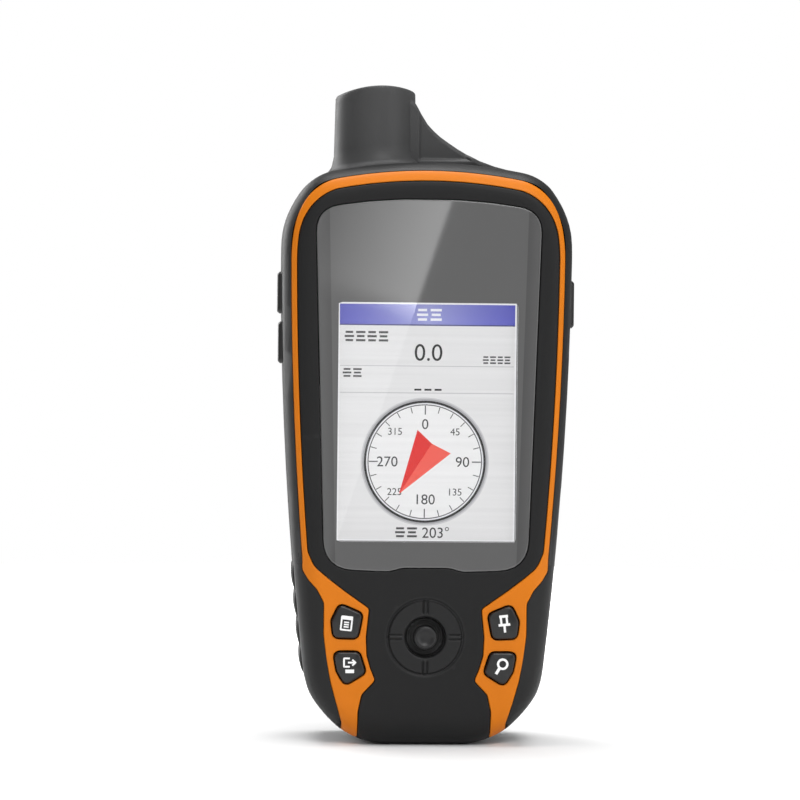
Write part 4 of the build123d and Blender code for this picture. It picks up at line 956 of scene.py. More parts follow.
class Finishes:
    """Every solid finish on the unit, by the record's slot."""

    BODY = Finish("BodyPlastic", (0.0095, 0.0096, 0.0099, 1), 0.5, grain_mm=0.28, grain_depth=0.006, specular=0.2, wear=0.08)
    HOUSING = Finish(
        "HousingPlastic", (0.0098, 0.0099, 0.0102, 1), 0.47, grain_mm=0.28, grain_depth=0.006, specular=0.26, wear=0.0,
    )
    # Painted sheen: the stub and web get a lighter copy of the housing's black plastic, fading into the plain black
    # along X.
    STUB_PAINTED_SHEEN = PaintedSheenFinish(
        "StubPaintedSheen", (0.05, 0.0503, 0.051, 1), 0.46, grain_mm=0.28, grain_depth=0.006, specular=0.24, wear=0.0,
        far=HOUSING.colour,
    )
    BAND = Finish(
        "BandPlastic", (0.6, 0.163, 0.004, 1), 0.42, grain_mm=0.4, grain_depth=0.003, tone=0.05,
        worn=(0.95, 0.5, 0.2, 1), wear=0.0, specular=0.18,
    )
    GRIP = Finish("GripRubber", (0.014, 0.014, 0.0146, 1), 0.6, grain_mm=0.35, grain_depth=0.012, wear=0.3, specular=0.35)
    KEY = Finish("KeyRubber", (0.005, 0.005, 0.0052, 1), 0.3, grain_mm=0.3, grain_depth=0.003, wear=0.2, specular=0.5)
    # Knob wear 0.6 lightens its convex rim: partly real rubbing, partly a painted highlight on the rim.
    KNOB_WEAR_AND_SHEEN = Finish("KnobRubberWearAndSheen", (0.011, 0.011, 0.0115, 1), 0.36, grain_mm=0.25, grain_depth=0.006, wear=0.6, specular=0.35)
    SIGN = Finish("SignPrint", (0.86, 0.86, 0.86, 1), 0.45, grain_mm=0.3, grain_depth=0.001, tone=0.04, wear=0.1)
    SEAL = Finish("SealRubber", (0.01, 0.01, 0.01, 1), 0.7, grain_mm=0.4, grain_depth=0.008)
    FOAM = Finish("FoamTape", (0.02, 0.02, 0.02, 1), 0.9, grain_mm=0.2, grain_depth=0.03)
    STEEL = Finish(
        "Steel", (0.56, 0.56, 0.57, 1), 0.3, grain_mm=0.2, grain_depth=0.002, metallic=1.0, worn=(0.75, 0.75, 0.76, 1),
        anisotropy=0.3,
    )
    GOLD = Finish("GoldPlate", (0.8, 0.6, 0.25, 1), 0.25, grain_depth=0.001, metallic=1.0, worn=(0.9, 0.75, 0.4, 1))
    BOARD = Finish("BoardResist", (0.015, 0.12, 0.05, 1), 0.35, grain_mm=0.5, grain_depth=0.004, worn=(0.05, 0.2, 0.1, 1))
    SWITCH = Finish("SwitchPlastic", (0.05, 0.05, 0.055, 1), 0.5)
    CERAMIC = Finish("Ceramic", (0.72, 0.66, 0.55, 1), 0.55, grain_mm=0.2, worn=(0.8, 0.75, 0.65, 1))
    JACKET = Finish("CellJacket", (0.32, 0.33, 0.36, 1), 0.3, coat=0.4, grain_depth=0.001, worn=(0.6, 0.6, 0.6, 1))
    LEAD = Finish("LeadJacket", (0.03, 0.03, 0.03, 1), 0.5)
    PANEL = Finish("PanelBack", (0.02, 0.02, 0.022, 1), 0.4)
    LENS = LensGrey("LensGrey", (0.1, 0.1, 0.1005, 1), 0.025, 0.01, tone=0.03, wear=0.0, scratches=0.02, grain_depth=0.0)
    BY_SLOT = {
        "black_plastic": BODY, "orange_plastic": BAND, "grip_rubber": GRIP, "window_glass": LENS,
        "display_glass": PANEL, "tape": FOAM, "tray_metal": STEEL, "board": BOARD, "key_rubber": KEY,
        "seal_rubber": SEAL, "switch_plastic": SWITCH, "steel": STEEL, "ceramic": CERAMIC,
        "cell_jacket": JACKET, "copper_lead": LEAD, "gold": GOLD,
    }


def dress_nodes() -> None:
    """Give every CAD node that stays its slot's finish."""
    for part in frame["record"]["subparts"]:
        mesh = frame["nodes"][part["node"]].data
        mesh.materials.clear()
        mesh.materials.append(Finishes.BY_SLOT[part["material_slot"]].material())


# --- Front -------------------------------------------------------------------
@dataclass
class FrontFrame:
    """Bezel, coloured band and joystick collar."""

    body: BodyOutline
    lines: BandLines
    window: "ScreenWindow"
    wall: float = 1.4
    gap: float = 0.12
    rim: float = 0.35
    collar_r: float = 9.8
    recess_r: float = 5.0
    stick_z: float = 26.5
    filler_z: tuple = (33.4, 46.6)
    filler_edge: tuple = ((25.0, 33.4), (25.0, 34.6), (27.9, 38.8), (31.2, 43.6), (31.2, 44.4), (30.7, 46.6))
    collar_rise: float = 0.4
    rib_rise: float = 0.2

    def build(self, keys: "FaceKeys") -> None:
        """Make the three pieces and let them ride on the case."""
        bezel = make_object("front_bezel_skin", self.bezel())
        settle(bezel, "case", Finishes.BODY.material(), ["front_bezel"])
        band = make_object("trim_band_skin", self.band(keys))
        settle(band, "case", Finishes.BAND.material(), ["trim_band"])
        for side in Side:
            filler = make_object(f"flank_filler_{side.name.lower()}", self.filler(side))
            settle(filler, "case", Finishes.HOUSING.material())
        collar = make_object("joystick_collar", self.collar())
        settle(collar, "case", Finishes.HOUSING.material())

    def bezel(self) -> Shape:
        """The black front inside the band, open at the window and the joystick."""
        inner = self.lines.inner()
        foot = self.lines.bottom(inner[-1, 0], inner[0, 0])
        loop = resample(moved_in(resample(np.vstack([foot, inner]), 0.45), self.gap), 0.45)
        pane = moved_in(self.window.outline(), -self.gap)[::-1]
        ring = circle(0, self.stick_z, self.collar_r, 120, anticlockwise=False)
        return Panel([loop, pane, ring], [self.rim, 0.3, 0.0], self.body.depth, self.wall, 1.3, self.body.rim_guides()).shape()

    def band(self, keys: "FaceKeys") -> Shape:
        """The coloured band with an opening for each key."""
        outer, inner = self.lines.outer(), self.lines.inner()
        left = self.lines.bottom(outer[-1, 0], inner[-1, 0])
        right = self.lines.bottom(inner[0, 0], outer[0, 0])
        loop = resample(np.vstack([outer, left, inner[::-1], right]), 0.4)
        holes = [moved_in(outline, -keys.groove)[::-1] for outline in keys.outlines().values()]
        rims = [0.28] + [0.22] * len(holes)
        return Panel([loop, *holes], rims, self.body.depth, self.wall, 1.0, self.body.rim_guides()).shape()

    def filler(self, side: Side) -> Shape:
        """The black corner between the band's bend and the rear case, a hair below the surface."""
        path = self.lines.outer()
        near = path[(path[:, 0] > 0) & (path[:, 1] > self.filler_z[0]) & (path[:, 1] < self.filler_z[1])] + [self.gap, 0]
        far = np.array(self.filler_edge)
        loop = resample(np.vstack([near[::-1], far]), 0.4)
        if side is Side.LEFT:
            loop = loop[::-1] * [-1, 1]
        return Panel([loop], [0.0], lambda x, z: self.body.depth(x, z) + 0.05, self.wall, 0.8).shape()

    def collar(self) -> Shape:
        """Turned section of the raised ring, with four ribs set between fine grooves."""
        radii = np.concatenate([np.linspace(9.8, 8.2, 17), np.linspace(8.0, 5.8, 12), [5.5, 5.3, 5.15, 5.0, 4.9, 4.83, 4.8]])
        turn = np.linspace(0, 2 * np.pi, 360, endpoint=False)
        r, a = np.meshgrid(radii, turn, indexing="ij")
        rise = self.collar_rise * smooth_step(8.95, 8.55, r) - 0.24 * np.exp(-(((r - 9.1) / 0.3) ** 2))
        across = np.min([np.abs(r * np.sin(a - k * np.pi / 2)) + 20 * (np.cos(a - k * np.pi / 2) < 0) for k in range(4)], axis=0)
        spoke = smooth_step(9.1, 8.8, r) * smooth_step(5.5, 5.9, r)
        rise += spoke * (self.rib_rise * np.exp(-((across / 0.3) ** 4)) - 0.25 * np.exp(-(((across - 0.58) / 0.2) ** 2)))
        lip = np.sqrt(np.clip(0.49 - np.clip(5.5 - r, 0, 0.7) ** 2, 0, None))
        y = self.body.front - rise + (0.7 - lip)
        front = np.stack([r * np.cos(a), y, self.stick_z + r * np.sin(a)], -1)
        inner = np.stack([front[-1, :, 0], np.full(len(turn), self.body.front + 2.0), front[-1, :, 2]], -1)
        outer = np.stack([front[0, :, 0], np.full(len(turn), self.body.front + 1.2), front[0, :, 2]], -1)
        rings = np.concatenate([front, inner[None], outer[None]])
        faces = grid_faces(len(rings), len(turn), close_rows=True, close_columns=True)
        return Shape(rings.reshape(-1, 3), faces)


@dataclass
class ScreenWindow:
    """The window: a printed border with a clear pane let into it, flush at the front."""

    front: float = -17.5
    thick: float = 1.5
    low_z: float = 42.3
    top_z: float = 132.0
    low_half: float = 24.6
    top_half: float = 27.3
    arch: float = 2.4
    notch: float = 0.9
    pane: tuple = (43.2, 57.6)
    pane_z: float = 78.3
    pane_thick: float = 0.4

    def outline(self) -> Array:
        """Arched top, tapering sides, round corners and a shallow raised notch in the bottom edge."""
        side_top = self.top_z - self.arch
        x, t = self.top_half, self.top_z
        corners = [
            (-9.0, self.low_z), (-5.6, self.low_z + self.notch), (5.6, self.low_z + self.notch), (9.0, self.low_z),
            (self.low_half, self.low_z + 0.5), (x, side_top), (0.54 * x, t - 0.7), (0.24 * x, t - 0.1), (-0.24 * x, t - 0.1),
            (-0.54 * x, t - 0.7), (-x, side_top), (-self.low_half, self.low_z + 0.5),
        ]
        radii = [4, 6, 6, 4, 8.0, 11.3, 34, 45, 45, 34, 11.3, 8.0]
        return resample(round_corners(corners, radii), 0.5)

    def build(self) -> None:
        """Make the border and the pane and let them ride on the case."""
        flat: Depth = lambda x, z: np.full(np.shape(x), self.front)
        hole = rectangle(0, self.pane_z, *self.pane, 0.3)[::-1]
        shape = Panel([self.outline(), resample(hole, 1.0)], [0.3, 0.0], flat, self.thick, 4.0).shape()
        border = make_object("window_border", shape)
        settle(border, "case", Finishes.LENS.material(), ["screen_window"])
        pane = rectangle(0, self.pane_z, self.pane[0] - 0.02, self.pane[1] - 0.02, 0.3)
        clear = make_object("window_pane", Panel([pane], [0.0], flat, self.pane_thick, 10.0).shape())
        settle(clear, "case", ClearGlass().material())


@dataclass
class ScreenPicture:
    """The display panel and the lit picture on it: bars, dashes, plain numbers and a dial with a pointer."""

    centre_z: float = 78.3
    face: float = -13.8
    layer: float = 0.02
    size: tuple = (43.2, 57.6)
    panel: tuple = (50.0, 69.2, 2.2)
    panel_z: float = 75.3
    dial: tuple = (-0.33, 68.7)
    dial_r: float = 14.75
    parts: list = field(default_factory=list)

    def plate(self, loop: Array, level: int, tint: tuple) -> None:
        """Add a thin plate of one tint: a convex loop, a front fan and a rim."""
        y = self.face - self.layer * level
        rings = [np.column_stack([loop[:, 0], np.full(len(loop), depth), loop[:, 1]]) for depth in (self.face, y)]
        shape = closed_tube(np.stack(rings))
        shape.colours = [tint] * len(shape.faces)
        self.parts.append(shape)

    def bar(self, x: float, z: float, width: float, height: float, level: int, tint: tuple) -> None:
        """Add a rectangle."""
        w, h = width / 2, height / 2
        self.plate(np.array([(x - w, z - h), (x + w, z - h), (x + w, z + h), (x - w, z + h)]), level, tint)

    def disc(self, radius: float, level: int, tint: tuple) -> None:
        """Add a disc at the dial's centre."""
        self.plate(circle(*self.dial, radius, 120), level, tint)

    def words(self, text: str, x: float, z: float, height: float, level: int, tint: tuple, name: str) -> None:
        """Add plain numbers, made a mesh from the built-in letter shapes.

        Args:
            text: what to write.
            x: middle across.
            z: middle up.
            height: height of a figure.
            level: layer.
            tint: colour.
            name: name for the helper curve.
        """
        curve = bpy.data.curves.new(name, "FONT")
        curve.body = text
        curve.align_x, curve.align_y = "CENTER", "CENTER"
        curve.size = height / 0.72
        curve.extrude = self.layer / 2
        obj = bpy.data.objects.new(name, curve)
        bpy.context.scene.collection.objects.link(obj)
        bpy.context.view_layer.update()
        mesh = bpy.data.meshes.new_from_object(obj.evaluated_get(bpy.context.evaluated_depsgraph_get()))
        points = np.empty(len(mesh.vertices) * 3)
        mesh.vertices.foreach_get("co", points)
        points = points.reshape(-1, 3)
        points[:, 1] -= (points[:, 1].min() + points[:, 1].max()) / 2
        y = self.face - self.layer * (level - 0.5)
        placed = np.column_stack([points[:, 0] + x, y - points[:, 2], points[:, 1] + z])
        faces = [list(face.vertices) for face in mesh.polygons]
        bpy.data.objects.remove(obj)
        bpy.data.curves.remove(curve)
        bpy.data.meshes.remove(mesh)
        self.parts.append(Shape(placed, faces, [tint] * len(faces)))

    def label(self, x: float, z: float, width: float, height: float, count: int, level: int, tint: tuple) -> None:
        """Stand-in for a word: plain level bars in a row of small stacks, three bars to a stack."""
        step = width / count
        for k in range(count):
            middle = x - width / 2 + (k + 0.5) * step
            for row in (-1, 0, 1):
                self.bar(middle, z + row * height * 0.38, step * (0.82 - 0.16 * ((k + row) % 2)), height * 0.2, level, tint)

    def draw_page(self) -> None:
        """White rim, pale page, header with a lighter middle, labels as plain bars, numbers and lines."""
        width, height = self.size
        top = self.centre_z + height / 2
        self.bar(0, self.centre_z, width, height, 1, linear(252, 252, 255))
        self.bar(0, self.centre_z - 0.1, width - 0.8, height - 0.8, 2, linear(232, 232, 233))
        count = 48
        span = (width - 0.8) / count
        for k in range(count):
            share = 1 - abs((k + 0.5) / count * 2 - 1)
            tint = linear(84 + 74 * share, 86 + 76 * share, 190 + 28 * share)
            self.bar(-width / 2 + 0.4 + (k + 0.5) * span, top - 2.95, span, 5.1, 3, tint)
        self.bar(0, top - 5.4, width - 0.8, 0.3, 4, linear(62, 62, 120))
        self.label(0.4, top - 2.9, 6.6, 3.0, 2, 4, linear(246, 247, 255))
        ink, soft = linear(60, 60, 62), linear(196, 196, 199)
        self.label(-14.75, 98.9, 11.0, 2.6, 4, 3, ink)
        self.label(-18.1, 90.1, 5.0, 2.2, 2, 3, ink)
        self.label(16.8, 93.4, 7.0, 1.9, 4, 3, ink)
        self.words("0.0", 0.3, 95.1, 4.15, 3, linear(8, 8, 10), "speed_figures")
        self.bar(0, 91.8, width - 1.2, 0.2, 3, soft)
        self.bar(0, 85.3, width - 1.2, 0.2, 3, soft)
        for x in (-2.2, 0.25, 2.7):
            self.bar(x, 86.1, 1.7, 0.45, 3, linear(8, 8, 10))
        self.label(-4.7, 51.6, 5.8, 2.5, 2, 3, ink)
        self.words("203°", 2.5, 51.6, 2.6, 3, linear(20, 20, 22), "heading_figures")

    def draw_dial(self) -> None:
        """Double ring, tick every 15 degrees, a number every 45 degrees and a two-tone pointer."""
        x, z = self.dial
        self.disc(self.dial_r + 0.75, 3, linear(205, 205, 208))
        self.disc(self.dial_r + 0.4, 4, linear(170, 170, 174))
        self.disc(self.dial_r, 5, linear(22, 22, 24))
        self.disc(self.dial_r - 0.55, 6, linear(232, 232, 236))
        self.disc(self.dial_r - 0.9, 7, linear(72, 72, 78))
        self.disc(self.dial_r - 1.13, 8, linear(243, 243, 244))
        for k in range(24):
            turn = math.radians(15 * k)
            ray, side = np.array([math.sin(turn), math.cos(turn)]), np.array([math.cos(turn), -math.sin(turn)])
            low, w = (11.4, 0.13) if k % 6 == 0 else (12.1, 0.1)
            high = self.dial_r - 1.2
            corners = [ray * low + side * w, ray * high + side * w, ray * high - side * w, ray * low - side * w]
            self.plate(np.array(corners)[::-1] + [x, z], 9, linear(50, 50, 54))
        for k in range(8):
            turn = math.radians(45 * k)
            height = 2.5 if k % 2 == 0 else 1.75
            reach = 9.1 if k % 2 == 0 else 10.3
            spot = (x + reach * math.sin(turn), z + reach * math.cos(turn))
            self.words(str(45 * k), *spot, height, 9, linear(35, 35, 38), f"dial_figures_{k}")
        tip, left, right, notch = (-6.18, -7.83), (-1.85, 7.7), (6.26, 2.06), (1.65, 4.4)
        for corner, tint in ((left, linear(228, 30, 26)), (right, linear(246, 92, 78))):
            facet = np.array([tip, notch, corner]) + [x, z]
            self.plate(facet if corner is left else facet[::-1], 10, tint)

    def build(self) -> None:
        """Make the panel and its picture and let them ride on the case."""
        self.draw_page()
        self.draw_dial()
        width, height, thick = self.panel
        flat: Depth = lambda x, z: np.full(np.shape(x), self.face)
        loop = resample(rectangle(0, self.panel_z, width, height, 0.5), 2.0)
        back = make_object("display_backing", Panel([loop], [0.15], flat, thick, 12.0).shape())
        settle(back, "case", Finishes.PANEL.material(), ["display_panel"])
        whole = self.parts[0]
        points, faces, colours, offset = [], [], [], 0
        for part in self.parts:
            points.append(part.points)
            faces += [[i + offset for i in face] for face in part.faces]
            colours += part.colours
            offset += len(part.points)
        whole = Shape(np.vstack(points), faces, colours)
        picture = make_object("display_picture", whole, flat=True)
        settle(picture, "case", ScreenGlow().material())


@dataclass
class FaceKeys:
    """Four domed keys in the band, each with a printed sign."""

    front: float = -18.2
    crown: float = 0.28
    edge: float = 0.55
    groove: float = 0.32
    sunk: float = 2.0
    corner: float = 1.55
    upper: tuple = ((20.7, 34.45), (15.15, 32.1), (16.3, 26.1), (22.1, 26.3), (22.6, 30.4))
    lower: tuple = ((22.1, 22.9), (15.9, 22.9), (14.25, 17.85), (19.2, 14.8), (21.2, 18.2))

    def outlines(self) -> dict[str, Array]:
        """Each key's outline, anticlockwise."""
        found = {}
        for name, points, side in (
            ("menu_key", self.upper, -1), ("exit_key", self.lower, -1),
            ("mark_key", self.upper, 1), ("find_key", self.lower, 1),
        ):
            corners = [(side * x, z) for x, z in points]
            area = sum(a[0] * b[1] - b[0] * a[1] for a, b in zip(corners, corners[1:] + corners[:1]))
            corners = corners if area > 0 else corners[::-1]
            near = [self.corner if min(abs(x) - 14.2, 40) > 0 else 0.8 for x, z in corners]
            found[name] = resample(round_corners(corners, near), 0.16)
        return found

    def top(self, outline: Array) -> Depth:
        """Y of a key's dome: highest at its middle and falling with the square of the way out."""
        centre = outline.mean(0)
        reach = np.linalg.norm(outline - centre, axis=1).mean()

        def depth(x: Array, z: Array) -> Array:
            """Y at plan points."""
            out = np.hypot(x - centre[0], z - centre[1]) / reach
            return self.front - self.crown * (1 - np.clip(out, 0, 1) ** 2)

        return depth

    def cap(self, outline: Array) -> Shape:
        """Straight sides, a rounded edge and a low dome."""
        rows = [(0.0, -self.front - self.sunk), (0.0, -self.front - self.edge)]
        rows += [(d, -self.front - drop) for d, drop in quarter_round(self.edge, 7)[1:]]
        shares = np.linspace(0, 0.92, 8)[1:]
        rows += [(-s, -self.front + self.crown * (1 - (1 - s) ** 2) * 0.98) for s in shares]
        return pillow(outline, np.array(rows), lambda a, b, h: np.column_stack([a, -h, b]))

    def strokes(self, name: str, centre: Array) -> list:
        """Lines of a key's sign: plan path, width and whether it is closed."""
        def line(*points: Sequence[float], width: float = 0.42, closed: bool = False) -> tuple:
            """A path through points given from the sign's middle, turned a little with the key."""
            lean = math.radians(-6 if "m" == name[0] and name.startswith("menu") else 6 if name.startswith("mark") else 0)
            path = np.array(points, float)
            turned = np.column_stack([
                path[:, 0] * math.cos(lean) - path[:, 1] * math.sin(lean),
                path[:, 0] * math.sin(lean) + path[:, 1] * math.cos(lean),
            ])
            return resample(turned + centre, 0.15, closed=closed), width, closed

        if name == "menu_key":
            frame_lines = [line((-1.25, -1.6), (1.25, -1.6), (1.25, 1.6), (-1.25, 1.6), width=0.4, closed=True)]
            frame_lines.append(line((-1.2, 1.25), (1.2, 1.25), width=0.75))
            return frame_lines + [line((-0.6, z), (0.6, z), width=0.34) for z in (0.25, -0.3, -0.85)]
        if name == "exit_key":
            door = line((0.15, 1.9), (-1.25, 1.9), (-1.25, -0.1), (0.15, -0.1), width=0.42)
            arrow = [line((-0.3, 0.9), (1.5, 0.9), width=0.42), line((0.75, 1.6), (1.55, 0.9), (0.75, 0.2), width=0.4)]
            return [door, *arrow, line((-0.9, -1.2), (1.2, -1.2), width=0.85)]
        if name == "mark_key":
            head = line((-1.05, 1.9), (1.05, 1.9), width=0.62)
            barrel = [line((-0.7, 1.7), (-0.7, 0.1), width=0.5), line((0.7, 1.7), (0.7, 0.1), width=0.5)]
            return [head, *barrel, line((-1.4, -0.15), (1.4, -0.15), width=0.6), line((0, -0.3), (0, -2.0), width=0.55)]
        ring = circle(0.45, 0.7, 1.12, 48)
        return [line(*ring, width=0.55, closed=True), line((-0.3, -0.25), (-1.15, -1.7), width=0.7)]

    def build(self) -> None:
        """Make each key and its sign and let them ride on the key's body."""
        for name, outline in self.outlines().items():
            cap = make_object(f"{name}_cap", self.cap(outline))
            settle(cap, name, Finishes.KEY.material(), [name])
            top = self.top(outline)
            sign: Shape | None = None
            for path, width, closed in self.strokes(name, outline.mean(0)):
                piece = ribbon(path, width, top, 0.05, 0.25, closed)
                sign = piece if sign is None else sign.plus(piece)
            mark = make_object(f"{name}_sign", sign)
            settle(mark, name, Finishes.SIGN.material())


@dataclass
class Joystick:
    """Dished knob and the pleated boot behind it."""

    z: float = 26.5
    knob_top: float = -19.0
    knob_back: float = -16.4
    knob_r: float = 2.75
    boot_y: float = -15.4
    boot_r: float = 6.5

    def build(self) -> None:
        """Make both and let them ride on the stick and on the case."""
        t, r = self.knob_top, self.knob_r
        rim = [(r * 0.86, t + 0.02), (r * 0.93, t + 0.1), (r * 0.98, t + 0.26), (r, t + 0.5), (r * 0.98, t + 1.2)]
        dish = [(0, t + 0.52), (0.5, t + 0.5), (1.0, t + 0.44), (1.4, t + 0.34), (1.7, t + 0.2), (1.9, t + 0.08), (2.1, t)]
        side = [(r * 0.94, self.knob_back - 0.2), (r * 0.85, self.knob_back), (0.8, self.knob_back), (0, self.knob_back)]
        knob = make_object("joystick_cap", lathe(np.array(dish + rim + side), (0, self.z), "Y", 96))
        settle(knob, "stick", Finishes.KNOB_WEAR_AND_SHEEN.material(), ["joystick_knob"])
        radii = np.linspace(1.9, self.boot_r, 40)
        wave = self.boot_y + 0.16 - 0.14 * np.cos((radii - 1.9) * 2 * np.pi / 1.15) * smooth_step(1.9, 2.4, radii)
        skin = np.column_stack([radii, wave])
        back = [(self.boot_r, self.boot_y + 1.0), (1.9, self.boot_y + 1.0)]
        profile = np.vstack([skin, back])
        turn = np.linspace(0, 2 * np.pi, 96, endpoint=False)
        rings = np.stack([
            profile[:, :1] * np.cos(turn), np.broadcast_to(profile[:, 1:], (len(profile), 96)),
            self.z + profile[:, :1] * np.sin(turn),
        ], -1)
        shape = Shape(rings.reshape(-1, 3), grid_faces(len(profile), 96, close_rows=True, close_columns=True))
        boot = make_object("joystick_bellows", shape)
        settle(boot, "case", Finishes.SEAL.material(), ["joystick_boot"])


# --- Flanks ------------------------------------------------------------------
@dataclass
class FlankParts:
    """Side keys and ridged side grips."""

    body: BodyOutline
    key_y: float = -4.5
    key_depth: float = 6.0
    proud: float = 1.1
    edge: float = 0.45
    keys: tuple = (
        ("zoom_in_key", Side.LEFT, 109.2, 10.2), ("zoom_out_key", Side.LEFT, 97.1, 10.2), ("power_key", Side.RIGHT, 107.0, 11.6),
    )
    grip_y: tuple = (-6.0, 8.0)
    grip_z: tuple = (15.5, 58.0)
    ridges: tuple = (16.2, 43.4, 6.8)
    grip_thick: float = 1.0
    ridge_rise: float = 0.6

    def key(self, side: Side, z: float, height: float) -> Shape:
        """A chamfered cap that stands out sideways."""
        outer = float(self.body.half_width(np.array([z]))[0]) + self.proud
        loop = resample(rectangle(self.key_y, z, self.key_depth, height, 1.3), 0.25)
        rows = [(0.0, outer - 4.6), (0.0, outer - 0.55), (0.08, outer - 0.42), (0.42, outer - 0.08), (0.6, outer)]
        rows += [(-s, outer + 0.0 * s) for s in (0.1, 0.3, 0.5, 0.7, 0.85)]
        shape = pillow(loop, np.array(rows), lambda a, b, h: np.column_stack([side.value * h, a, b]))
        return shape

    def grip(self, side: Side) -> Shape:
        """A pad carried up the flank: a nearly square section whose outside bulges in four rounded ridges."""
        z = np.linspace(*self.grip_z, 150)
        low, high, pitch = self.ridges
        swell = np.abs(np.sin(np.pi * (z - low) / pitch)) ** 0.6
        rise = self.ridge_rise * swell * smooth_step(low - 0.1, low + 0.8, z) * smooth_step(high + 0.2, high - 0.8, z)
        ends = np.sqrt(np.clip(1 - (np.clip(np.abs(z - z.mean()) - (z[-1] - z[0]) / 2 + 0.6, 0, 0.6) / 0.6) ** 2, 0.02, 1))
        base = self.body.half_width(z)
        turn = np.linspace(0, np.pi, 36)
        c, s = np.cos(turn), np.sin(turn)
        across = np.sign(c) * np.abs(c) ** 0.28
        out = np.abs(s) ** 0.22
        half, middle = (self.grip_y[1] - self.grip_y[0]) / 2, sum(self.grip_y) / 2
        y = middle + half * across[None, :] * (1 - 0.02 * (1 - ends[:, None]))
        x = base[:, None] - self.grip_thick + (self.grip_thick + 0.04 + rise[:, None]) * out[None, :] * ends[:, None]
        rings = np.stack([side.value * x, y, np.broadcast_to(z[:, None], x.shape)], -1)
        return closed_tube(rings)

    def build(self) -> None:
        """Make the keys and the grips."""
        for name, side, z, height in self.keys:
            key = make_object(f"{name}_cap", self.key(side, z, height))
            settle(key, name, Finishes.KEY.material(), [name])
        for side in Side:
            grip = make_object(f"grip_pad_{side.name.lower()}", self.grip(side))
            settle(grip, "case", Finishes.GRIP.material(), [f"side_grip_{side.name.lower()}"])


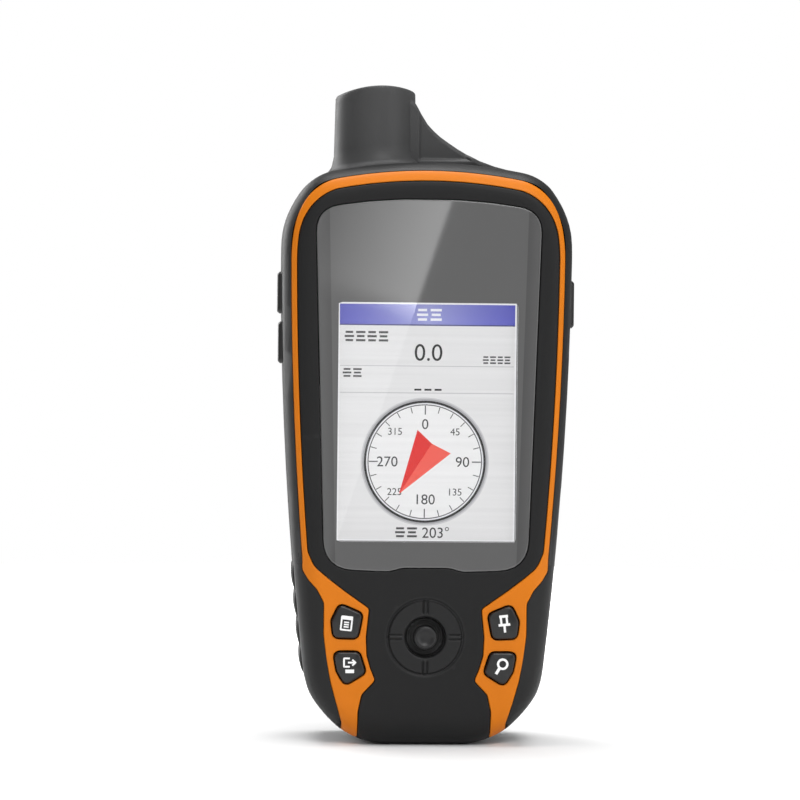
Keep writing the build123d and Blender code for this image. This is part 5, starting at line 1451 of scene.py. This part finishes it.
# --- Rear housing and antenna --------------------------------------------------
@dataclass
class RearHousing:
    """The rear case, with a turned antenna stub and a hollow-curved web in place of the plain ones."""

    body: BodyOutline
    stub_x: float = -12.4
    stub_y: float = 2.5
    top_r: float = 9.72
    foot_r: float = 10.37
    top_z: float = 160.0
    crown: tuple = (2.03, -0.62, 0.25)
    rim: float = 0.55
    flare: float = 2.6
    flat_angle: float = math.radians(0.5)
    web_low_y: float = -2.0
    web_high_y: float = 7.0
    web_edge: float = 1.2
    web_start: tuple = (-5.6, 157.3)
    web_knots: tuple = ((-4.2, 156.9), (-2.75, 155.7), (-1.4, 153.4), (0.3, 150.7), (1.8, 149.1), (3.5, 147.6), (5.5, 146.2), (7.6, 144.8), (10.0, 143.4),
                        (13.0, 141.9), (16.6, 140.6), (20.5, 139.6), (24.5, 138.6))

    def case(self) -> bpy.types.Object:
        """The CAD case, smoothed, without what stands above the body's own top."""
        obj = merged_copy("rear_housing", "rear_housing_skin")
        x = np.linspace(-30.5, 30.5, 80)
        arch = np.column_stack([x, self.body.top_height(x) + 0.01])
        rows = []
        for y in (-30.0, 30.0):
            low = np.column_stack([arch[:, 0], np.full(80, y), arch[:, 1]])
            high = np.column_stack([arch[::-1, 0], np.full(80, y), np.full(80, 170.0)])
            rows.append(np.vstack([low, high]))
        count = 160
        faces = [list(range(count))[::-1], list(range(count, 2 * count))]
        faces += [[k, (k + 1) % count, (k + 1) % count + count, k + count] for k in range(count)]
        cut(obj, make_object("top_cutter", Shape(np.vstack(rows), faces)))
        net = bmesh.new()
        net.from_mesh(obj.data)
        bmesh.ops.remove_doubles(net, verts=net.verts, dist=1e-6)
        bmesh.ops.dissolve_limit(net, angle_limit=self.flat_angle, verts=net.verts, edges=net.edges)
        net.to_mesh(obj.data)
        net.free()
        obj.data.shade_smooth()
        obj.data.set_sharp_from_angle(angle=SMOOTH_ANGLE)
        return obj

    def top(self, x: Array, y: Array) -> Array:
        """Height of the stub's end: arched across, a little lower on the left, and nearly level from front to back."""
        u, v = (x - self.stub_x) / self.top_r, (y - self.stub_y) / self.top_r
        bend, lean, fall = self.crown
        return self.top_z - 0.06 - bend * u**2 - lean * u - fall * v**2

    def stub(self) -> Shape:
        """Radius and height along the stub's wall, edge and arched end, then a flare that follows the body's top."""
        turn = np.linspace(0, 2 * np.pi, 144, endpoint=False)
        c, s = np.cos(turn), np.sin(turn)
        slope = (self.foot_r - self.top_r) / 29.35
        rows = []
        flare = self.flare * (1 - smooth_step(0.1, 0.6, s))
        for share in np.linspace(1, 0, 10):
            r = self.foot_r + flare * share
            lift = flare * (1 - math.sqrt(1 - (1 - share) ** 2))
            roof = self.body.roof(self.stub_x + r * c, np.minimum(self.stub_y + r * s, self.body.neck))
            rows.append((r, np.maximum(roof, 127.5) + lift - 0.12 * share))
        foot = rows[-1][1]
        rows.insert(0, (self.foot_r + flare, rows[0][1] - 1.2))
        rows.insert(0, (np.full_like(turn, 8.0), np.full_like(turn, 126.0)))
        corner_r = self.top_r - self.rim
        high = self.top(self.stub_x + self.top_r * c, self.stub_y + self.top_r * s)
        for share in np.linspace(0, 1, 14)[1:]:
            z = foot + (high - self.rim - foot) * share
            rows.append((self.foot_r - slope * (z - 130.65), z))
        for t in np.linspace(0, np.pi / 2, 7)[1:]:
            r = np.full_like(turn, corner_r + self.rim * math.cos(t))
            roof = self.top(self.stub_x + r * c, self.stub_y + r * s)
            rows.append((r, roof - self.rim * (1 - math.sin(t))))
        for share in np.linspace(0, 1, 12)[1:-1]:
            r = np.full_like(turn, corner_r * (1 - share))
            rows.append((r, self.top(self.stub_x + r * c, self.stub_y + r * s)))
        rings = np.stack([np.column_stack([self.stub_x + r * c, self.stub_y + r * s, z]) for r, z in rows])
        return closed_tube(rings)

    def web(self) -> Shape:
        """Sections across the web, carried along its hollow top curve, with a panel let into both faces."""
        knots = np.array([self.web_start, *self.web_knots])
        crest = resample(knots, 0.35, closed=False)
        x, top = crest[:, 0], crest[:, 1]
        share = np.linspace(0, 1, 46)
        edge = quarter_round(self.web_edge, 7)
        low_roof = self.body.roof(x, np.full_like(x, self.web_low_y)) - 1.5
        high_roof = self.body.roof(x, np.full_like(x, self.web_high_y)) - 1.5
        sections = []
        for y_wall, sign, floor in ((self.web_low_y, 1, low_roof), (self.web_high_y, -1, high_roof)):
            wall_top = np.maximum(top - self.web_edge, floor + 0.2)
            z = floor[:, None] + (wall_top - floor)[:, None] * share[None, :]
            inset = self.recess(np.broadcast_to(x[:, None], z.shape), z)
            y = y_wall + sign * inset
            corner_z = np.minimum(top[:, None] - edge[::-1, 1][None, :] * 0 - edge[:, 1][None, :], top[:, None])
            last = inset[:, -1:]
            corner_y = y_wall + sign * (last + edge[:, 0][None, :])
            wall = np.stack([y, z], -1)
            corner = np.stack([np.broadcast_to(corner_y, corner_z.shape), corner_z], -1)[:, 1:]
            sections.append(np.concatenate([wall, corner], 1))
        front, back = sections
        profile = np.concatenate([front, back[:, ::-1]], 1)
        rings = np.concatenate([np.broadcast_to(x[:, None, None], (*profile.shape[:2], 1)), profile], -1)
        return closed_tube(rings)

    def recess(self, x: Array, z: Array) -> Array:
        """How far the web's face lies behind its surround: none near the stub and the ledge, full inside."""
        return 1.0 * smooth_step(-2.1, -1.2, x) * smooth_step(141.6, 142.5, z) - 1.0

    def build(self) -> None:
        """Make the case, the stub and the web and let them ride on the case."""
        case = self.case()
        even = case.modifiers.new("EvenNormals", "WEIGHTED_NORMAL")
        even.keep_sharp = True
        even.weight = 90
        settle(case, "case", Finishes.HOUSING.material(), ["rear_housing"])
        # The stub and the web wear the painted-sheen copy of the black plastic.
        settle(make_object("antenna_stub", self.stub()), "case", Finishes.STUB_PAINTED_SHEEN.material())
        settle(make_object("antenna_web", self.web()), "case", Finishes.STUB_PAINTED_SHEEN.material())


# --- Back --------------------------------------------------------------------
def turned_back(shape: Shape) -> Shape:
    """The same shape with front and back exchanged."""
    return Shape(shape.points * [1, -1, 1], [face[::-1] for face in shape.faces])


@dataclass
class BatteryDoor:
    """Battery cover with a ribbed field, its quarter-turn latch and the folding ring."""

    width: float = 40.0
    low_z: float = 24.5
    top_z: float = 98.0
    corner: float = 6.0
    back: float = 17.5
    thick: float = 2.0
    latch_z: float = 29.5
    hub_r: float = 5.0
    pivot: tuple = (18.4, 32.1)
    wire: float = 0.7
    ring_size: tuple = (10.0, 11.0)

    def relief(self, x: Array, z: Array) -> Array:
        """Y of the cover's face: a shallow field with rounded cross ribs, level at its rim."""
        field_mask = smooth_step(15.6, 14.4, np.abs(x)) * smooth_step(64.0, 65.2, z) * smooth_step(90.2, 89.0, z)
        ribs = 0.5 + 0.5 * np.cos((z - 65.0) * 2 * np.pi / 4.0)
        return -self.back + field_mask * (0.25 + 0.45 * ribs**2)

    def cover(self) -> Shape:
        """The ribbed cover with its latch hole."""
        middle = (self.low_z + self.top_z) / 2
        loop = resample(rectangle(0, middle, self.width, self.top_z - self.low_z, self.corner), 0.7)
        hole = circle(0, self.latch_z, self.hub_r + 0.15, 72, anticlockwise=False)
        return turned_back(Panel([loop, hole], [0.5, 0.2], self.relief, self.thick, 0.62).shape())

    def latch(self) -> Shape:
        """Head with a rounded rim, neck and shank, turned round Y, and a rounded block for the ring."""
        b, r = self.back, self.hub_r
        head = [(0, b), (2.0, b), (r - 0.25, b), (r - 0.07, b - 0.07), (r, b - 0.25), (r, b - 0.8)]
        neck = [(2.6, b - 0.8), (2.6, b - self.thick), (1.25, b - self.thick), (1.25, 10.3), (0.95, 10.0), (0, 10.0)]
        hub = lathe(np.array(head + neck), (0, self.latch_z), "Y", 72)
        block = resample(rectangle(0, self.pivot[1], 5.4, 2.6, 0.7), 0.2)
        rows = [(0.0, b - 0.3), (0.0, 19.3), (0.12, 19.58), (0.4, 19.7), (-0.5, 19.7)]
        ear = pillow(block, np.array(rows), lambda a, c, h: np.column_stack([a, h, c]))
        return hub.plus(ear)

    def ring(self) -> Shape:
        """Wire ring round a rounded rectangle that hangs from the block."""
        width, length = self.ring_size
        y, z = self.pivot
        plan = resample(rectangle(0, z - length / 2, width, length, 2.2), 0.35)
        path = np.column_stack([plan[:, 0], np.full(len(plan), y), plan[:, 1]])
        return swept_ring(path, self.wire)

    def build(self) -> None:
        """Make the three and let each ride on its own body."""
        settle(make_object("battery_door", self.cover()), "cover", Finishes.BODY.material(), ["battery_cover"])
        settle(make_object("latch_head", self.latch()), "latch", Finishes.STEEL.material(), ["latch_hub"])
        settle(make_object("latch_loop", self.ring()), "latch_ring", Finishes.STEEL.material(), ["latch_ring"])


@dataclass
class PortFlap:
    """Rubber flap over the sockets, with a finger lip along its free edge."""

    low_x: float = -3.45
    high_x: float = 17.05
    z: float = 119.5
    height: float = 12.0
    back: float = 13.0
    thick: float = 1.6

    def face(self, x: Array, z: Array) -> Array:
        """Y of the outside: flat, with a shallow frame line and a raised lip near the free edge."""
        side = np.minimum(x - self.low_x, self.high_x - x)
        end = self.height / 2 - np.abs(z - self.z)
        line = np.exp(-(((np.minimum(side, end) - 1.3) / 0.22) ** 2))
        lip = smooth_step(14.2, 14.8, x) * smooth_step(16.6, 16.0, x) * smooth_step(4.2, 3.6, np.abs(z - self.z))
        return -self.back + 0.18 * line - 0.45 * lip

    def build(self) -> None:
        """Make the flap and let it ride on its body."""
        middle = (self.low_x + self.high_x) / 2
        loop = resample(rectangle(middle, self.z, self.high_x - self.low_x, self.height, 0.5), 0.4)
        shape = turned_back(Panel([loop], [0.3], self.face, self.thick, 0.35).shape())
        settle(make_object("port_flap_skin", shape), "port_flap", Finishes.GRIP.material(), ["port_cover"])


# --- Studio ------------------------------------------------------------------
@dataclass
class Studio:
    """Pale floor, soft lamps and the camera."""

    target: tuple = (-5.75, 0.0, 83.2)
    distance: float = 900.0
    azimuth: float = -3.0
    elevation: float = 1.5
    roll: float = 0.6
    view_width: float = 196.2
    dim: float = 0.34
    box_plane: float = -1000.0
    box_size: tuple = (1.0, 1.3)
    box_edge: tuple = ((8.9, 142.5), (-23.1, 44.8))
    box_power: float = 2.0
    strip_width: float = 0.055
    strip_power: float = 1.0
    strip_plane: float = -985.0

    def camera(self) -> None:
        """A camera level with the middle of the unit, a little to its left."""
        data = bpy.data.cameras.new("Camera")
        data.sensor_width = 36.0
        data.lens = 36.0 * self.distance / self.view_width
        data.clip_start, data.clip_end = 0.05, 20.0
        camera = bpy.data.objects.new("Camera", data)
        bpy.context.scene.collection.objects.link(camera)
        a, e = math.radians(self.azimuth), math.radians(self.elevation)
        back = Vector((math.sin(a) * math.cos(e), -math.cos(a) * math.cos(e), math.sin(e)))
        camera.location = (Vector(self.target) + back * self.distance) * MM
        turn = (-back).to_track_quat("-Z", "Y").to_matrix().to_4x4()
        camera.rotation_euler = turn.to_euler()
        camera.rotation_euler.rotate_axis("Z", math.radians(self.roll))
        bpy.context.scene.camera = camera

    def lamp(self, name: str, place: Sequence[float], aim: Sequence[float], size: tuple, power: float, roll: float = 0) -> None:
        """A rectangular soft lamp.

        Args:
            name: its name.
            place: where it stands, in metres.
            aim: what it points at, in metres.
            size: width and height in metres.
            power: watts.
            roll: turn about its own axis, in degrees.
        """
        data = bpy.data.lights.new(name, "AREA")
        data.shape = "RECTANGLE"
        data.size, data.size_y = size
        data.energy = power
        lamp = bpy.data.objects.new(name, data)
        bpy.context.scene.collection.objects.link(lamp)
        lamp.location = place
        lamp.rotation_euler = (Vector(aim) - Vector(place)).to_track_quat("-Z", "Y").to_euler()
        lamp.rotation_euler.rotate_axis("Z", math.radians(roll))

    def floor(self) -> None:
        """A wide pale disc that the unit stands on."""
        disc = circle(0, 0, 0.6, 96)
        mesh = bpy.data.meshes.new("Floor")
        mesh.from_pydata([(x, y, 0.0) for x, y in disc.tolist()], [], [list(range(96))])
        floor = bpy.data.objects.new("Floor", mesh)
        bpy.context.scene.collection.objects.link(floor)
        material = bpy.data.materials.new("FloorPaper")
        material.use_nodes = True
        net = NodeNet(material.node_tree)
        shader = material.node_tree.nodes["Principled BSDF"]
        place = net.add("TexCoord").outputs["Object"]
        noise = net.add("TexNoise", Vector=place, Scale=30.0, Detail=3.0).outputs["Fac"]
        tone = net.span(noise, 0.3, 0.7, 0.80, 0.83)
        colour = net.add("CombineColor", Red=tone, Green=tone, Blue=tone).outputs[0]
        material.node_tree.links.new(colour, shader.inputs["Base Color"])
        shader.inputs["Roughness"].default_value = 0.9
        shader.inputs["Specular IOR Level"].default_value = 0.0
        shader.inputs["Emission Color"].default_value = (1, 1, 1, 1)
        rays = net.add("LightPath").outputs["Is Camera Ray"]
        away = net.add("VectorMath", {"operation": "LENGTH"}, Vector=place).outputs["Value"]
        fade = net.span(away, 0.05, 0.28, 0.0, 1.0)
        material.node_tree.links.new(net.math("MULTIPLY", rays, fade), shader.inputs["Emission Strength"])
        mesh.materials.append(material)

    def world(self) -> None:
        """Soft grey light from all round, seen as white directly and through glass."""
        world = bpy.data.worlds.new("Studio")
        bpy.context.scene.world = world
        world.use_nodes = True
        net = NodeNet(world.node_tree)
        rays = net.add("LightPath").outputs
        seen = net.math("MAXIMUM", rays["Is Camera Ray"], rays["Is Transmission Ray"])
        ground = world.node_tree.nodes["Background"]
        ground.inputs["Color"].default_value = (1, 1, 1, 1)
        strength = net.math("ADD", net.math("MULTIPLY", seen, 1 - self.dim), self.dim)
        world.node_tree.links.new(strength, ground.inputs["Strength"])

    def build(self) -> None:
        """Set the stage."""
        scene = bpy.context.scene
        scene.view_settings.view_transform = "Standard"
        self.camera()
        self.floor()
        self.world()
        self.soft_box("SoftBox", self.box_size[0], self.box_power, self.box_plane)
        self.soft_box("EdgeStrip", self.strip_width, self.strip_power, self.strip_plane)
        self.fade_across("EdgeStrip")
        self.lamp("KeyLamp", (0.3, -1.0, 1.0), (0, 0, 0.09), (0.8, 0.5), 7.6)
        self.lamp("FillLamp", (0.9, -0.7, 0.35), (0, 0, 0.08), (0.5, 0.8), 3.0)
        self.lamp("BackLamp", (-0.75, 0.8, 0.45), (0, 0, 0.08), (0.7, 0.9), 8.0)
        self.lamp("TopLamp", (0.0, 0.1, 1.1), (0, 0, 0.0), (0.8, 0.6), 10.5)

    def fade_across(self, name: str) -> None:
        """Let a lamp's light fall off evenly across its width, and fade in above its lowest part."""
        data = bpy.data.lights[name]
        data.use_nodes = True
        net = NodeNet(data.node_tree)
        parts = net.add("SeparateXYZ", Vector=net.add("NewGeometry").outputs["Parametric"]).outputs
        rise = net.span(parts["Y"], 0.188, 0.2, 0.0, 1.0)
        share = net.math("MULTIPLY", parts["X"], rise)
        data.node_tree.links.new(share, data.node_tree.nodes["Emission"].inputs["Strength"])

    def soft_box(self, name: str, width_m: float, power: float, plane: float) -> None:
        """A lamp behind the camera on the left, with its inner edge placed by the window's mirror image.

        A ray from the camera C to the window's point P goes on, mirrored in the window's plane, to
        P + (P - C) * (Y_plane - Y_box) / (Y_plane - Y_camera) in X and Z.
        """
        camera = np.array(bpy.context.scene.camera.location) / MM
        window_y = -17.5
        share = (window_y - plane) / (window_y - camera[1])
        edge = [np.array(p) + (np.array(p) - camera[[0, 2]]) * share for p in self.box_edge]
        along = (edge[0] - edge[1]) / np.linalg.norm(edge[0] - edge[1])
        side = np.array([-along[1], along[0]])
        width, height = width_m / MM, self.box_size[1] / MM
        start = edge[1] - along * 120.0
        centre = start + along * height / 2 + side * width / 2
        place = Vector((centre[0], plane, centre[1])) * MM
        lean = math.degrees(math.atan2(along[0], along[1]))
        self.lamp(name, place, place + Vector((0, 1, 0)), (width_m, self.box_size[1]), power, -lean)


def main() -> None:
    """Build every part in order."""
    logging.basicConfig(level=logging.INFO, format="%(message)s")
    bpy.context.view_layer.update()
    dress_nodes()
    Studio().build()
    body = BodyOutline()
    keys = FaceKeys()
    window = ScreenWindow()
    FrontFrame(body, BandLines(body), window).build(keys)
    window.build()
    ScreenPicture().build()
    keys.build()
    Joystick().build()
    FlankParts(body).build()
    RearHousing(body).build()
    BatteryDoor().build()
    PortFlap().build()


if __name__ == "__main__":
    main()
